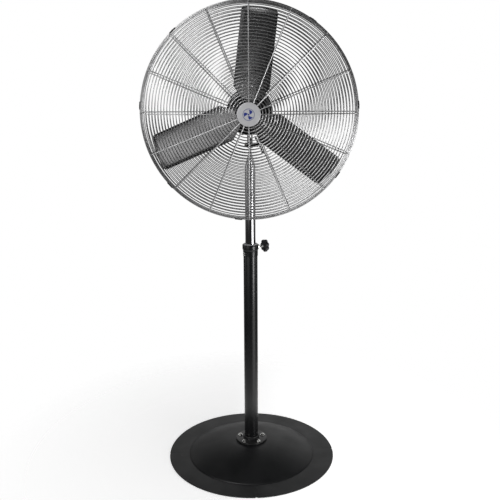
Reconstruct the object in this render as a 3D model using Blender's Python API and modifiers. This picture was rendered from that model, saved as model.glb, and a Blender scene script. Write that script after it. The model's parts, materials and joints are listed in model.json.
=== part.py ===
"""Industrial pedestal fan, 30 inch class, as an assembly of separate parts.

Units are metres and +Z is up.  The origin lies on the floor under the middle of
the base.  The fan blows towards -Y, and +X is to the right of someone who
stands in front of it.  The head's parts are modelled in the head's own axes:
x to the right, y up and z forward along the shaft.
"""

import math

import bmesh
import bpy
from mathutils import Matrix, Vector

# ---------------------------------------------------------------- driving sizes
GAP = 0.0003                  # clearance kept between neighbouring solids

BASE_RADIUS = 0.350
BASE_RIM_THICKNESS = 0.005
DOME_RADIUS = 0.262           # where the dome rises from the flat rim
DOME_STEP = 0.0035            # small step at the dome's edge
DOME_TOP = 0.066              # seat of the flange
DOME_WALL = 0.007
SEAT_RADIUS = 0.070
NOTCH_RADIUS = 0.005
NOTCH_ANGLE = 4.0             # first of four rim notches, degrees

FLANGE_RADIUS = 0.0655
FLANGE_THICKNESS = 0.007
FLANGE_NECK_HEIGHT = 0.013
BOLT_COUNT = 5
BOLT_CIRCLE_RADIUS = 0.050
BOLT_SHANK_RADIUS = 0.004

TUBE_RADIUS = 0.0286
TUBE_WALL = 0.002
TUBE_TOP = 0.898
GLIDE_RADIUS = 0.0262         # split sleeve at the foot of the pole
GLIDE_BOTTOM = 0.505
GLIDE_TOP = 0.555

POLE_RADIUS = 0.02065
POLE_WALL = 0.002
POLE_BOTTOM = 0.500
POLE_ROUND_TOP = 1.233        # the pole is crimped flat above this height
CRIMP_TOP = 1.3125
TAB_HALF_THICKNESS = 0.0048
TAB_HALF_WIDTH = 0.029
TAB_END_RADIUS = 0.031        # round end of the tab, about the tilt bolt

COLLAR_RADIUS = 0.0325
COLLAR_BORE_RADIUS = 0.0235
COLLAR_BOTTOM = 0.880
COLLAR_TOP = 0.927
SHOULDER_BOTTOM = 0.914       # lower end of the collar's full width
SKIRT_RADIUS = 0.0299         # the thinner part that slips over the tube
SKIRT_TOP = 0.899
BUSH_RADIUS = 0.0232
BUSH_LIP_RADIUS = 0.0275
BUSH_LIP_HEIGHT = 0.002
CLAMP_HEIGHT = 0.9125
CLAMP_ANGLE = 30.0            # direction of the clamp screw, degrees from +X
SCREW_RADIUS = 0.005
SCREW_HOLE_RADIUS = SCREW_RADIUS + GAP
KNOB_RADIUS = 0.0265
KNOB_THICKNESS = 0.016
KNOB_DISTANCE = 0.0675        # from the pole's axis to the knob's middle
KNOB_LOBES = 7
NUT_RADIUS = 0.0088
NUT_HEIGHT = 0.0071

HEAD_HEIGHT = 1.465           # height of the blade shaft
TILT_HEIGHT = 1.328           # height of the tilt bolt
CHEEK_THICKNESS = 0.005
CHEEK_RADIUS = 0.013
YOKE_SCREW_OFFSET = 0.030     # from the middle to each yoke screw
YOKE_SCREW_RADIUS = 0.0025
LEVER_HUB_RADIUS = 0.0085
LEVER_HUB_END = 0.0330
LEVER_BAR_RADIUS = 0.0036
LEVER_BAR_START = (0.0190, 0.0, 0.0340)
LEVER_BAR_END = (0.0475, 0.0, -0.0225)
GRIP_RADIUS = 0.0065
SADDLE_BOTTOM = 1.370
SADDLE_HALF_LENGTH = 0.032
SADDLE_HALF_WIDTH = 0.040

MOTOR_RADIUS = 0.084
MOTOR_HALF_LENGTH = 0.066
MOTOR_WALL = 0.003
COVER_DEPTH = 0.0225
SHAFT_RADIUS = 0.0065
BEARING_RADIUS = 0.0175
STATOR_BORE_RADIUS = 0.046
CORE_HALF_LENGTH = 0.027

GUARD_RADIUS = 0.400
GUARD_WIRE = 0.0050
GUARD_RADIALS = 16
GUARD_PLATE_RADIUS = 0.0885
GUARD_PLATE_THICKNESS = 0.003
CLIP_ANGLES = (4, 55, 92, 133, 176, 222, 264, 325)
CLIP_LENGTH = 0.028
CLIP_SHEET = 0.0012
BADGE_RADIUS = 0.0435

BLADE_PLANE = 0.150           # blade plane in front of the pole's axis
BLADE_TIP_RADIUS = 0.378
BLADE_ROOT_RADIUS = 0.046
BLADE_WIDTH = 0.132
BLADE_PITCH = 25.0
BLADE_CAMBER = 0.009
ROOT_SLOPE = 40.0             # steepest slope of the cambered sheet, degrees
BLADE_SHEET = 0.0016
BLADE_CORNER = 0.016
BLADE_ANGLES = (83.5, 203.5, 323.5)
ARM_SHEET = 0.0025
ARM_END_RADIUS = 0.108
HUB_RADIUS = 0.025
HUB_HALF_LENGTH = 0.016
RIVET_ROW_RADIUS = 0.0955
RIVET_SPACING = 0.036
RIVET_SHANK_RADIUS = 0.0022
RIVET_HEAD_RADIUS = 0.0046

SWITCH_BOX_WIDTH = 0.076
SWITCH_BOX_HEIGHT = 0.058
SWITCH_BOX_DEPTH = 0.036
SWITCH_KNOB_RADIUS = 0.016

FINE = 48                     # steps of the widest turned parts
ROUND = 24                    # steps of a large turned part
SMALL_ROUND = 12              # steps of a fastener
TINY_ROUND = 8                # steps of a rivet

# ------------------------------------------------------------------- scene setup
for stale in list(bpy.data.objects):
    bpy.data.objects.remove(stale, do_unlink=True)

PARTS = bpy.data.collections.new("pedestal_fan")
CUTTERS = bpy.data.collections.new("cutters")
for collection in (PARTS, CUTTERS):
    bpy.context.scene.collection.children.link(collection)


def make_material(name, colour, roughness, metallic):
    """A plain Principled material."""
    material = bpy.data.materials.new(name)
    material.use_nodes = True
    shader = material.node_tree.nodes["Principled BSDF"]
    shader.inputs["Base Color"].default_value = (*colour, 1.0)
    shader.inputs["Roughness"].default_value = roughness
    shader.inputs["Metallic"].default_value = metallic
    return material


BLACK_COAT = make_material("black_coat", (0.035, 0.036, 0.038), 0.42, 0.0)
BASE_COAT = make_material("base_coat", (0.045, 0.047, 0.050), 0.50, 0.0)
CHROME = make_material("chrome", (0.75, 0.75, 0.76), 0.12, 1.0)
ZINC = make_material("zinc", (0.62, 0.63, 0.65), 0.30, 1.0)
BLADE_COAT = make_material("blade_coat", (0.05, 0.05, 0.052), 0.35, 0.2)
BLACK_PLASTIC = make_material("black_plastic", (0.02, 0.02, 0.021), 0.45, 0.0)
GREY_PLASTIC = make_material("grey_plastic", (0.35, 0.35, 0.36), 0.45, 0.0)
BADGE_SILVER = make_material("badge_silver", (0.70, 0.70, 0.72), 0.30, 0.4)
IRON = make_material("iron", (0.22, 0.22, 0.23), 0.55, 0.8)
COPPER = make_material("copper", (0.60, 0.28, 0.12), 0.40, 0.9)


def make_empty(name, location, parent=None, rotation=(0.0, 0.0, 0.0)):
    """An axis that the moving parts hang from."""
    empty = bpy.data.objects.new(name, None)
    empty.empty_display_size = 0.05
    empty.location = location
    empty.rotation_euler = rotation
    empty.parent = parent
    PARTS.objects.link(empty)
    return empty


CLAMP_DIRECTION = Vector((math.cos(math.radians(CLAMP_ANGLE)),
                          math.sin(math.radians(CLAMP_ANGLE)), 0.0))
FACE_FORWARD = (math.pi / 2, 0.0, 0.0)   # turns a part's z to the head's forward
swivel_axis = make_empty("swivel_axis", (0.0, 0.0, 0.0))
clamp_axis = make_empty("clamp_axis", (0.0, 0.0, CLAMP_HEIGHT))
clamp_axis.rotation_euler = CLAMP_DIRECTION.to_track_quat("Z", "Y").to_euler()
tilt_axis = make_empty("tilt_axis", (0.0, 0.0, TILT_HEIGHT), swivel_axis)
head_axis = make_empty("head_axis", (0.0, 0.0, HEAD_HEIGHT - TILT_HEIGHT), tilt_axis,
                       FACE_FORWARD)
spin_axis = make_empty("spin_axis", (0.0, 0.0, 0.0), head_axis)


# ------------------------------------------------------------------ shape helpers
def place(obj, material=None, parent=None, location=(0.0, 0.0, 0.0),
          rotation=(0.0, 0.0, 0.0), sharp_angle=35.0):
    """Link a part, give it its material and its place."""
    PARTS.objects.link(obj)
    obj.location = location
    obj.rotation_euler = rotation
    obj.parent = parent
    obj.data.materials.clear()
    obj.data.materials.append(material)
    obj.data.shade_smooth()
    obj.data.set_sharp_from_angle(angle=math.radians(sharp_angle))
    return obj


def mesh_object(name, bm):
    """A new unlinked object from a bmesh."""
    mesh = bpy.data.meshes.new(name)
    bm.to_mesh(mesh)
    bm.free()
    return bpy.data.objects.new(name, mesh)


def bake(obj):
    """Apply an object's modifiers to a mesh of its own and unlink the object."""
    if not obj.users_collection:
        CUTTERS.objects.link(obj)
    depsgraph = bpy.context.evaluated_depsgraph_get()
    depsgraph.update()
    mesh = bpy.data.meshes.new_from_object(obj.evaluated_get(depsgraph))
    for collection in list(obj.users_collection):
        collection.objects.unlink(obj)
    obj.modifiers.clear()
    obj.data = mesh
    return obj


def turned(name, profile, steps=ROUND, closed=True):
    """A turned part.  The profile's (radius, height) points run down the outer side."""
    bm = bmesh.new()
    verts = [bm.verts.new((radius, 0.0, height)) for radius, height in profile]
    pairs = list(zip(verts, verts[1:]))
    if closed:
        pairs.append((verts[-1], verts[0]))
    for first, second in pairs:
        bm.edges.new((first, second))
    obj = mesh_object(name, bm)
    screw = obj.modifiers.new("turn", "SCREW")
    screw.steps = steps
    screw.render_steps = steps
    screw.use_merge_vertices = True
    screw.merge_threshold = 0.00002
    return bake(obj)


def tube(name, outer, inner, bottom, top, steps=ROUND):
    """A plain round tube along z."""
    return turned(name, [(outer, top), (outer, bottom), (inner, bottom), (inner, top)], steps)


def rod(name, radius, bottom, top, steps=SMALL_ROUND):
    """A solid round or many-sided bar along z."""
    bm = bmesh.new()
    bmesh.ops.create_cone(bm, cap_ends=True, segments=steps, radius1=radius,
                          radius2=radius, depth=top - bottom)
    bmesh.ops.translate(bm, verts=bm.verts, vec=(0.0, 0.0, (top + bottom) / 2))
    return mesh_object(name, bm)


def block(name, low, high):
    """A box between two corners."""
    bm = bmesh.new()
    size = [b - a for a, b in zip(low, high)]
    middle = [(a + b) / 2 for a, b in zip(low, high)]
    bmesh.ops.create_cube(bm, size=1.0)
    bmesh.ops.scale(bm, verts=bm.verts, vec=size)
    bmesh.ops.translate(bm, verts=bm.verts, vec=middle)
    return mesh_object(name, bm)


def moved(obj, matrix):
    """Turn or shift an object's mesh."""
    obj.data.transform(matrix)
    return obj


def combine(obj, other, operation):
    """Cut an object with another, or join the two, and keep the result."""
    for item in (obj, other):
        CUTTERS.objects.link(item)
    other.display_type = "WIRE"
    other.hide_render = True
    modifier = obj.modifiers.new(operation.lower(), "BOOLEAN")
    modifier.operation = operation
    modifier.solver = "EXACT"
    modifier.object = other
    bake(obj)
    bpy.data.objects.remove(other, do_unlink=True)
    return obj


def cut(obj, *cutters):
    for cutter in cutters:
        combine(obj, cutter, "DIFFERENCE")
    return obj


def join(obj, *others):
    for other in others:
        combine(obj, other, "UNION")
    return obj


def bevelled(obj, width, segments=2, angle=40.0):
    """Round an object's sharp edges."""
    CUTTERS.objects.link(obj)
    bevel = obj.modifiers.new("bevel", "BEVEL")
    bevel.width = width
    bevel.segments = segments
    bevel.limit_method = "ANGLE"
    bevel.angle_limit = math.radians(angle)
    return bake(obj)


def ring_points(count, radius, start=0.0):
    """Evenly spaced points on a circle."""
    for index in range(count):
        angle = math.radians(start) + 2 * math.pi * index / count
        yield radius * math.cos(angle), radius * math.sin(angle)


def along(direction, origin=(0.0, 0.0, 0.0)):
    """A matrix that lays a part's z axis along a direction."""
    turn = Vector(direction).to_track_quat("Z", "Y").to_matrix().to_4x4()
    return Matrix.Translation(origin) @ turn


# --------------------------------------------------------------------------- base
def dome_height(radius):
    """Height of the dome's top surface between the seat and the dome's edge."""
    reach = (radius - SEAT_RADIUS) / (DOME_RADIUS - SEAT_RADIUS)
    edge = BASE_RIM_THICKNESS + DOME_STEP
    return edge + (DOME_TOP - edge) * (1.0 - reach ** 1.7)


def bolt_hole_cutters(low, high):
    for x, y in ring_points(BOLT_COUNT, BOLT_CIRCLE_RADIUS, -90.0 + 180.0 / BOLT_COUNT):
        hole = rod("bolt_hole", BOLT_SHANK_RADIUS + GAP, low, high)
        yield moved(hole, Matrix.Translation((x, y, 0.0)))


def build_base_plate():
    count = 6
    span = DOME_RADIUS - SEAT_RADIUS
    radii = [SEAT_RADIUS + span * index / count for index in range(count + 1)]
    top = [(0.0, DOME_TOP)] + [(r, dome_height(r)) for r in radii]
    rim = [(DOME_RADIUS + 0.003, BASE_RIM_THICKNESS),
           (BASE_RADIUS - 0.002, BASE_RIM_THICKNESS),
           (BASE_RADIUS, BASE_RIM_THICKNESS - 0.002),
           (BASE_RADIUS, 0.0),
           (DOME_RADIUS + 0.006, 0.0)]
    under = [(r, max(dome_height(r) - DOME_WALL, 0.001)) for r in reversed(radii[:-1])]
    plate = turned("base_plate", top + rim + under + [(0.0, DOME_TOP - DOME_WALL)], FINE, False)
    cut(plate, *bolt_hole_cutters(DOME_TOP - 0.02, DOME_TOP + 0.02))
    for x, y in ring_points(4, BASE_RADIUS + 0.001, NOTCH_ANGLE):
        notch = rod("notch", NOTCH_RADIUS, -0.01, 0.02)
        cut(plate, moved(notch, Matrix.Translation((x, y, 0.0))))
    place(plate, BASE_COAT)


def build_base_flange():
    low = DOME_TOP + GAP
    top = low + FLANGE_THICKNESS
    bore = TUBE_RADIUS + GAP
    neck = bore + 0.005
    profile = [(bore, top + FLANGE_NECK_HEIGHT), (neck, top + FLANGE_NECK_HEIGHT),
               (neck, top), (FLANGE_RADIUS - 0.001, top),
               (FLANGE_RADIUS, top - 0.001), (FLANGE_RADIUS, low), (bore, low)]
    flange = turned("base_flange", profile)
    cut(flange, *bolt_hole_cutters(low - 0.01, top + 0.01))
    place(flange, BLACK_COAT)


def build_flange_bolts():
    seat = DOME_TOP + FLANGE_THICKNESS + 2 * GAP
    bolt = rod("bolt", 0.0075, 0.0, 0.0053, 6)
    join(bolt, rod("shank", BOLT_SHANK_RADIUS, -0.0125, 0.001, TINY_ROUND))
    spots = ring_points(BOLT_COUNT, BOLT_CIRCLE_RADIUS, -90.0 + 180.0 / BOLT_COUNT)
    for index, (x, y) in enumerate(spots, 1):
        copy = bpy.data.objects.new(f"flange_bolt_{index}", bolt.data)
        place(copy, ZINC, location=(x, y, seat))


# --------------------------------------------------------------------------- mast
def clamp_hole():
    hole = rod("clamp_hole", SCREW_HOLE_RADIUS, 0.0, 0.06)
    return moved(hole, along(CLAMP_DIRECTION, (0.0, 0.0, CLAMP_HEIGHT)))


def build_outer_tube():
    bottom = DOME_TOP + 2 * GAP
    place(tube("outer_tube", TUBE_RADIUS, TUBE_RADIUS - TUBE_WALL, bottom, TUBE_TOP), BLACK_COAT)


def build_tube_collar():
    skirt_bore = TUBE_RADIUS + GAP
    profile = [(COLLAR_BORE_RADIUS, COLLAR_TOP), (COLLAR_RADIUS - 0.001, COLLAR_TOP),
               (COLLAR_RADIUS, COLLAR_TOP - 0.001), (COLLAR_RADIUS, SHOULDER_BOTTOM),
               (SKIRT_RADIUS + 0.0007, SKIRT_TOP + 0.004), (SKIRT_RADIUS, SKIRT_TOP),
               (SKIRT_RADIUS, COLLAR_BOTTOM), (skirt_bore, COLLAR_BOTTOM),
               (skirt_bore, TUBE_TOP + GAP), (COLLAR_BORE_RADIUS, TUBE_TOP + GAP)]
    place(cut(turned("tube_collar", profile), clamp_hole()), BLACK_COAT)


def build_collar_bush():
    bore = POLE_RADIUS + GAP
    lip = COLLAR_TOP + GAP
    top = lip + BUSH_LIP_HEIGHT
    foot = TUBE_TOP + 2 * GAP
    profile = [(bore, top), (BUSH_LIP_RADIUS - 0.0005, top), (BUSH_LIP_RADIUS, lip),
               (BUSH_RADIUS, lip), (BUSH_RADIUS, foot), (bore, foot)]
    place(cut(turned("collar_bush", profile), clamp_hole()), GREY_PLASTIC)


def build_clamp():
    seat = COLLAR_RADIUS + GAP + 0.0001
    nut = rod("clamp_nut", NUT_RADIUS, seat, seat + NUT_HEIGHT, 6)
    cut(nut, rod("thread", SCREW_HOLE_RADIUS, seat - 0.01, seat + NUT_HEIGHT + 0.01))
    place(nut, ZINC, clamp_axis)

    knob_back = KNOB_DISTANCE - KNOB_THICKNESS / 2
    screw = rod("clamp_screw", SCREW_RADIUS, POLE_RADIUS + 0.0004, knob_back + 0.010)
    place(bevelled(screw, 0.0008, 1), ZINC, clamp_axis)

    knob = rod("clamp_knob", KNOB_RADIUS, knob_back, knob_back + KNOB_THICKNESS, 42)
    for vertex in knob.data.vertices:
        angle = math.atan2(vertex.co.y, vertex.co.x)
        scale = 0.90 + 0.10 * math.cos(KNOB_LOBES * angle)
        vertex.co.x *= scale
        vertex.co.y *= scale
    knob = bevelled(knob, 0.0025, 1, 60.0)
    cut(knob, rod("screw_hole", SCREW_HOLE_RADIUS, knob_back - 0.01, knob_back + 0.0103))
    place(knob, BLACK_PLASTIC, clamp_axis)


def build_pole_glide():
    bore = POLE_RADIUS + GAP
    end = GLIDE_RADIUS - 0.0004
    profile = [(bore, GLIDE_TOP), (end, GLIDE_TOP), (GLIDE_RADIUS, GLIDE_TOP - 0.003),
               (GLIDE_RADIUS, GLIDE_BOTTOM + 0.003), (end, GLIDE_BOTTOM), (bore, GLIDE_BOTTOM)]
    place(turned("pole_glide", profile), GREY_PLASTIC)


def crimp_section(height):
    """Half-thickness (x) and half-width (y) of the pole's outside at a height."""
    if height <= POLE_ROUND_TOP:
        return POLE_RADIUS, POLE_RADIUS
    reach = min((height - POLE_ROUND_TOP) / (CRIMP_TOP - POLE_ROUND_TOP), 1.0)
    ease = reach * reach * (3.0 - 2.0 * reach)
    half_x = POLE_RADIUS + (TAB_HALF_THICKNESS - POLE_RADIUS) * ease
    half_y = POLE_RADIUS + (TAB_HALF_WIDTH - POLE_RADIUS) * ease
    above = height - TILT_HEIGHT
    if above > 0.0:
        half_y = min(half_y, math.sqrt(max(TAB_END_RADIUS ** 2 - above ** 2, 0.0)))
    return half_x, half_y


def build_inner_pole():
    heights = [POLE_BOTTOM, POLE_ROUND_TOP - 0.003]
    crimp = CRIMP_TOP - POLE_ROUND_TOP
    heights += [POLE_ROUND_TOP + crimp * step / 5 for step in range(1, 6)]
    heights += [TILT_HEIGHT + 0.010, TILT_HEIGHT + 0.020, TILT_HEIGHT + 0.028]
    bm = bmesh.new()
    spots = list(ring_points(ROUND, 1.0))
    rings = []
    for height in heights:
        half_x, half_y = crimp_section(height)
        flat = 1.0 - 0.55 * (POLE_RADIUS - half_x) / (POLE_RADIUS - TAB_HALF_THICKNESS)
        ring = []
        for x, y in spots:
            bulge = math.copysign(abs(x) ** flat, x)
            ring.append(bm.verts.new((half_x * bulge, half_y * y, height)))
        rings.append(ring)
    for low, high in zip(rings, rings[1:]):
        for index in range(ROUND):
            after = (index + 1) % ROUND
            bm.faces.new((low[index], low[after], high[after], high[index]))
    pole = mesh_object("inner_pole", bm)
    CUTTERS.objects.link(pole)
    wall = pole.modifiers.new("wall", "SOLIDIFY")
    wall.thickness = POLE_WALL
    wall.offset = -1.0
    bake(pole)
    hole = moved(rod("tilt_hole", SCREW_HOLE_RADIUS, -0.03, 0.03),
                 along((1.0, 0.0, 0.0), (0.0, 0.0, TILT_HEIGHT)))
    place(cut(pole, hole), CHROME, swivel_axis)


# -------------------------------------------------------------------- tilt bracket
def cheek(side):
    """One ear of the clevis, round at the tilt bolt."""
    inner = TAB_HALF_THICKNESS + GAP + 0.0002
    low, high = sorted((side * inner, side * (inner + CHEEK_THICKNESS)))
    top = SADDLE_BOTTOM - TILT_HEIGHT + 0.004
    ear = moved(rod("cheek", CHEEK_RADIUS, low, high, ROUND), along((1.0, 0.0, 0.0)))
    join(ear, block("cheek_web", (low, -CHEEK_RADIUS, 0.0), (high, CHEEK_RADIUS, top)))
    return ear


def build_tilt_yoke():
    rise = SADDLE_BOTTOM - TILT_HEIGHT
    yoke = block("tilt_yoke", (-SADDLE_HALF_WIDTH, -SADDLE_HALF_LENGTH, rise),
                 (SADDLE_HALF_WIDTH, SADDLE_HALF_LENGTH, rise + 0.030))
    motor = rod("motor_space", MOTOR_RADIUS + GAP, -0.1, 0.1, FINE)
    cut(yoke, moved(motor, along((0.0, -1.0, 0.0), (0.0, 0.0, HEAD_HEIGHT - TILT_HEIGHT))))
    join(yoke, cheek(1), cheek(-1))
    hole = rod("tilt_hole", SCREW_HOLE_RADIUS, -0.03, 0.03)
    cut(yoke, moved(hole, along((1.0, 0.0, 0.0))))
    for side in (-1, 1):
        hole = rod("screw_hole", YOKE_SCREW_RADIUS + GAP, rise - 0.01, rise + 0.04)
        cut(yoke, moved(hole, Matrix.Translation((side * YOKE_SCREW_OFFSET, 0.0, 0.0))))
    place(yoke, BLACK_COAT, tilt_axis)


def build_yoke_screws():
    seat = SADDLE_BOTTOM - TILT_HEIGHT - GAP
    shank = YOKE_SCREW_RADIUS
    profile = [(0.0, seat + 0.015), (shank, seat + 0.015), (shank, seat), (0.0052, seat),
               (0.0045, seat - 0.003), (0.0, seat - 0.0036)]
    screw = turned("yoke_screw", profile, TINY_ROUND, False)
    for name, side in (("yoke_screw_left", -1), ("yoke_screw_right", 1)):
        copy = bpy.data.objects.new(name, screw.data)
        place(copy, ZINC, tilt_axis, (side * YOKE_SCREW_OFFSET, 0.0, 0.0))


def build_tilt_fasteners():
    outside = TAB_HALF_THICKNESS + 2 * GAP + CHEEK_THICKNESS + 0.0004
    turn = along((1.0, 0.0, 0.0))
    bolt = moved(rod("tilt_bolt", SCREW_RADIUS, -0.0215, 0.0285), turn)
    place(bolt, ZINC, tilt_axis)
    nut = rod("tilt_nut", 0.0092, -outside - 0.008, -outside, 6)
    cut(nut, rod("thread", SCREW_HOLE_RADIUS, -0.03, 0.0))
    place(moved(nut, turn), ZINC, tilt_axis)

    hub = rod("tilt_lever", LEVER_HUB_RADIUS, outside, LEVER_HUB_END, 16)
    cut(hub, rod("thread", SCREW_HOLE_RADIUS, 0.0, 0.0290))
    moved(hub, turn)
    inner_end = Vector(LEVER_BAR_START)
    outer_end = Vector(LEVER_BAR_END)
    length = (outer_end - inner_end).length
    bar = rod("lever_bar", LEVER_BAR_RADIUS, 0.0, length, TINY_ROUND)
    moved(bar, along(outer_end - inner_end, inner_end))
    cut(bar, moved(rod("bolt_space", SCREW_HOLE_RADIUS, 0.0, 0.0290), turn))
    join(hub, bar)
    place(hub, BLACK_COAT, tilt_axis)

    direction = (outer_end - inner_end).normalized()
    bm = bmesh.new()
    bmesh.ops.create_uvsphere(bm, u_segments=12, v_segments=8, radius=GRIP_RADIUS)
    grip = mesh_object("lever_grip", bm)
    middle = outer_end + direction * (GRIP_RADIUS + GAP + 0.0001)
    place(moved(grip, Matrix.Translation(middle)), BLACK_PLASTIC, tilt_axis)


# -------------------------------------------------------------------------- motor
def cover_profile(opening):
    """One end cover of the motor, facing up, with its bearing pocket below."""
    edge = MOTOR_HALF_LENGTH + GAP
    face = edge + COVER_DEPTH
    pocket = BEARING_RADIUS + GAP
    inner = MOTOR_RADIUS - MOTOR_WALL
    return [(opening, face), (MOTOR_RADIUS - 0.008, face), (MOTOR_RADIUS - 0.002, face - 0.003),
            (MOTOR_RADIUS, face - 0.009), (MOTOR_RADIUS, edge), (inner, edge),
            (inner, face - 0.010), (inner - 0.006, face - MOTOR_WALL),
            (pocket + 0.004, face - MOTOR_WALL), (pocket + 0.004, face - 0.0185),
            (pocket, face - 0.0185), (pocket, face - 0.006), (opening, face - 0.006)]


def build_motor():
    place(tube("motor_shell", MOTOR_RADIUS, MOTOR_RADIUS - MOTOR_WALL, -MOTOR_HALF_LENGTH,
               MOTOR_HALF_LENGTH, FINE), BLACK_COAT, head_axis)
    opening = SHAFT_RADIUS + 0.001
    place(turned("motor_front_cover", cover_profile(opening)), BLACK_COAT, head_axis)
    place(turned("motor_rear_cover", cover_profile(opening)), BLACK_COAT, head_axis,
          rotation=(math.pi, 0.0, 0.0))
    place(tube("stator", MOTOR_RADIUS - MOTOR_WALL - GAP, STATOR_BORE_RADIUS,
               -CORE_HALF_LENGTH, CORE_HALF_LENGTH), COPPER, head_axis)
    face = MOTOR_HALF_LENGTH + COVER_DEPTH
    for name, side in (("front_bearing", 1), ("rear_bearing", -1)):
        low, high = sorted((side * (face - 0.0175), side * (face - 0.0062)))
        place(tube(name, BEARING_RADIUS, SHAFT_RADIUS + GAP, low, high, 16), ZINC, head_axis)
    place(tube("rotor_core", STATOR_BORE_RADIUS - 0.0006, SHAFT_RADIUS + GAP,
               -CORE_HALF_LENGTH - 0.002, CORE_HALF_LENGTH + 0.002), IRON, spin_axis)
    shaft = rod("motor_shaft", SHAFT_RADIUS, -face + 0.002, BLADE_PLANE + 0.020, 16)
    place(shaft, ZINC, spin_axis)


def build_switch():
    rear = MOTOR_HALF_LENGTH + GAP + COVER_DEPTH + GAP
    back = rear + SWITCH_BOX_DEPTH
    half_x = SWITCH_BOX_WIDTH / 2
    half_y = SWITCH_BOX_HEIGHT / 2
    wall = 0.0025
    box = block("switch_box", (-half_x, -half_y, -back), (half_x, half_y, -rear))
    box = bevelled(box, 0.004, 1)
    cut(box, block("inside", (-half_x + wall, -half_y + wall, -back + wall),
                   (half_x - wall, half_y - wall, -rear + 0.01)))
    cut(box, rod("spindle_hole", 0.0038, -back - 0.01, -back + 0.01))
    gland_hole = moved(rod("gland_hole", 0.0063, 0.0, 0.06),
                       along((0.0, -1.0, 0.0), (0.0, 0.0, -rear - SWITCH_BOX_DEPTH / 2)))
    place(cut(box, gland_hole), BLACK_COAT, head_axis)

    low = -back - GAP
    knob = rod("switch_knob", SWITCH_KNOB_RADIUS, low - 0.010, low, ROUND)
    knob = bevelled(knob, 0.0012, 1)
    join(knob, block("grip", (-0.0030, -0.0145, low - 0.018), (0.0030, 0.0145, low - 0.008)))
    join(knob, rod("spindle", 0.0033, low - 0.002, low + 0.008))
    place(knob, BLACK_PLASTIC, head_axis)

    reach = half_y + GAP
    profile = [(0.0045, reach + 0.013), (0.0070, reach + 0.013), (0.0080, reach + 0.009),
               (0.0095, reach + 0.006), (0.0095, reach), (0.0060, reach),
               (0.0060, reach - 0.006), (0.0045, reach - 0.006)]
    gland = turned("cable_gland", profile, 16)
    place(moved(gland, along((0.0, -1.0, 0.0), (0.0, 0.0, -rear - SWITCH_BOX_DEPTH / 2))),
          BLACK_PLASTIC, head_axis)


# ------------------------------------------------------------------------- guards
FRONT_RINGS = ((0.040, 0.2240), (0.130, 0.2215), (0.220, 0.2155), (0.310, 0.2060),
               (0.386, 0.1950), (0.395, 0.1750), (0.400, 0.1537))
REAR_RINGS = ((0.076, 0.0965), (0.150, 0.0967), (0.235, 0.0980), (0.315, 0.1000),
              (0.386, 0.1050), (0.395, 0.1250), (0.400, 0.1463))


def build_guard(name, rings):
    """A wire guard: rings held by radial wires, each made from the edges of a dish."""
    segments = 2 * GUARD_RADIALS
    bm = bmesh.new()
    rows = []
    for radius, height in rings:
        rows.append([bm.verts.new((x, y, height)) for x, y in ring_points(segments, radius)])
    for inner, outer in zip(rows, rows[1:]):
        for index in range(0, segments, 2):
            middle = index + 1
            after = (index + 2) % segments
            bm.faces.new((inner[index], outer[index], outer[middle], outer[after],
                          inner[after], inner[middle]))
    guard = mesh_object(name, bm)
    CUTTERS.objects.link(guard)
    wires = guard.modifiers.new("wires", "WIREFRAME")
    wires.thickness = GUARD_WIRE
    wires.offset = 0.0
    wires.use_even_offset = True
    wires.use_boundary = True
    wires.use_replace = True
    place(bake(guard), CHROME, head_axis)


def build_guard_plate():
    low = MOTOR_HALF_LENGTH + COVER_DEPTH + 2 * GAP
    place(tube("guard_plate", GUARD_PLATE_RADIUS, 0.020, low, low + GUARD_PLATE_THICKNESS, FINE),
          BLACK_COAT, head_axis)


def build_guard_clips():
    """Sheet clips bent over both rim rings, open towards the middle."""
    inside = GUARD_RADIUS + GUARD_WIRE / 2 + GAP
    lip = inside - 0.0009
    half = 0.0092
    clip = block("clip", (lip, -CLIP_LENGTH / 2, BLADE_PLANE - half - CLIP_SHEET),
                 (inside + CLIP_SHEET, CLIP_LENGTH / 2, BLADE_PLANE + half + CLIP_SHEET))
    cut(clip, block("inside", (lip - 0.01, -CLIP_LENGTH, BLADE_PLANE - half),
                    (inside, CLIP_LENGTH, BLADE_PLANE + half)))
    moved(clip, Matrix.Translation((0.0006, 0.0, 0.0)))
    for index, angle in enumerate(CLIP_ANGLES, 1):
        copy = bpy.data.objects.new(f"guard_clip_{index}", clip.data)
        place(copy, BLACK_COAT, head_axis, rotation=(0.0, 0.0, math.radians(angle)))


def build_badge():
    back = FRONT_RINGS[0][1] + GUARD_WIRE / 2 + GAP
    profile = [(0.0, back + 0.0065), (0.018, back + 0.0060), (0.034, back + 0.0048),
               (BADGE_RADIUS - 0.002, back + 0.0030), (BADGE_RADIUS, back + 0.0015),
               (BADGE_RADIUS, back), (0.0, back)]
    place(turned("badge", profile, 36, False), BADGE_SILVER, head_axis)


# ------------------------------------------------------------------------- blades
def blade_surface(lateral, radial, half_width, lift=0.0):
    """A point of the pressed blade that points along +y; +x is its leading side."""
    share = max(-1.0, min(1.0, lateral / half_width))
    hollow = BLADE_CAMBER * (1.0 - share * share)
    forward = BLADE_PLANE - lateral * math.tan(math.radians(BLADE_PITCH)) - hollow + lift
    return Vector((lateral, radial, forward))


def surface_normal(lateral, radial):
    """The blade's forward normal at a point."""
    step = 0.001
    half = BLADE_WIDTH / 2
    across = blade_surface(lateral + step, radial, half) - blade_surface(lateral, radial, half)
    return across.cross(Vector((0.0, step, 0.0))).normalized()


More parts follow.
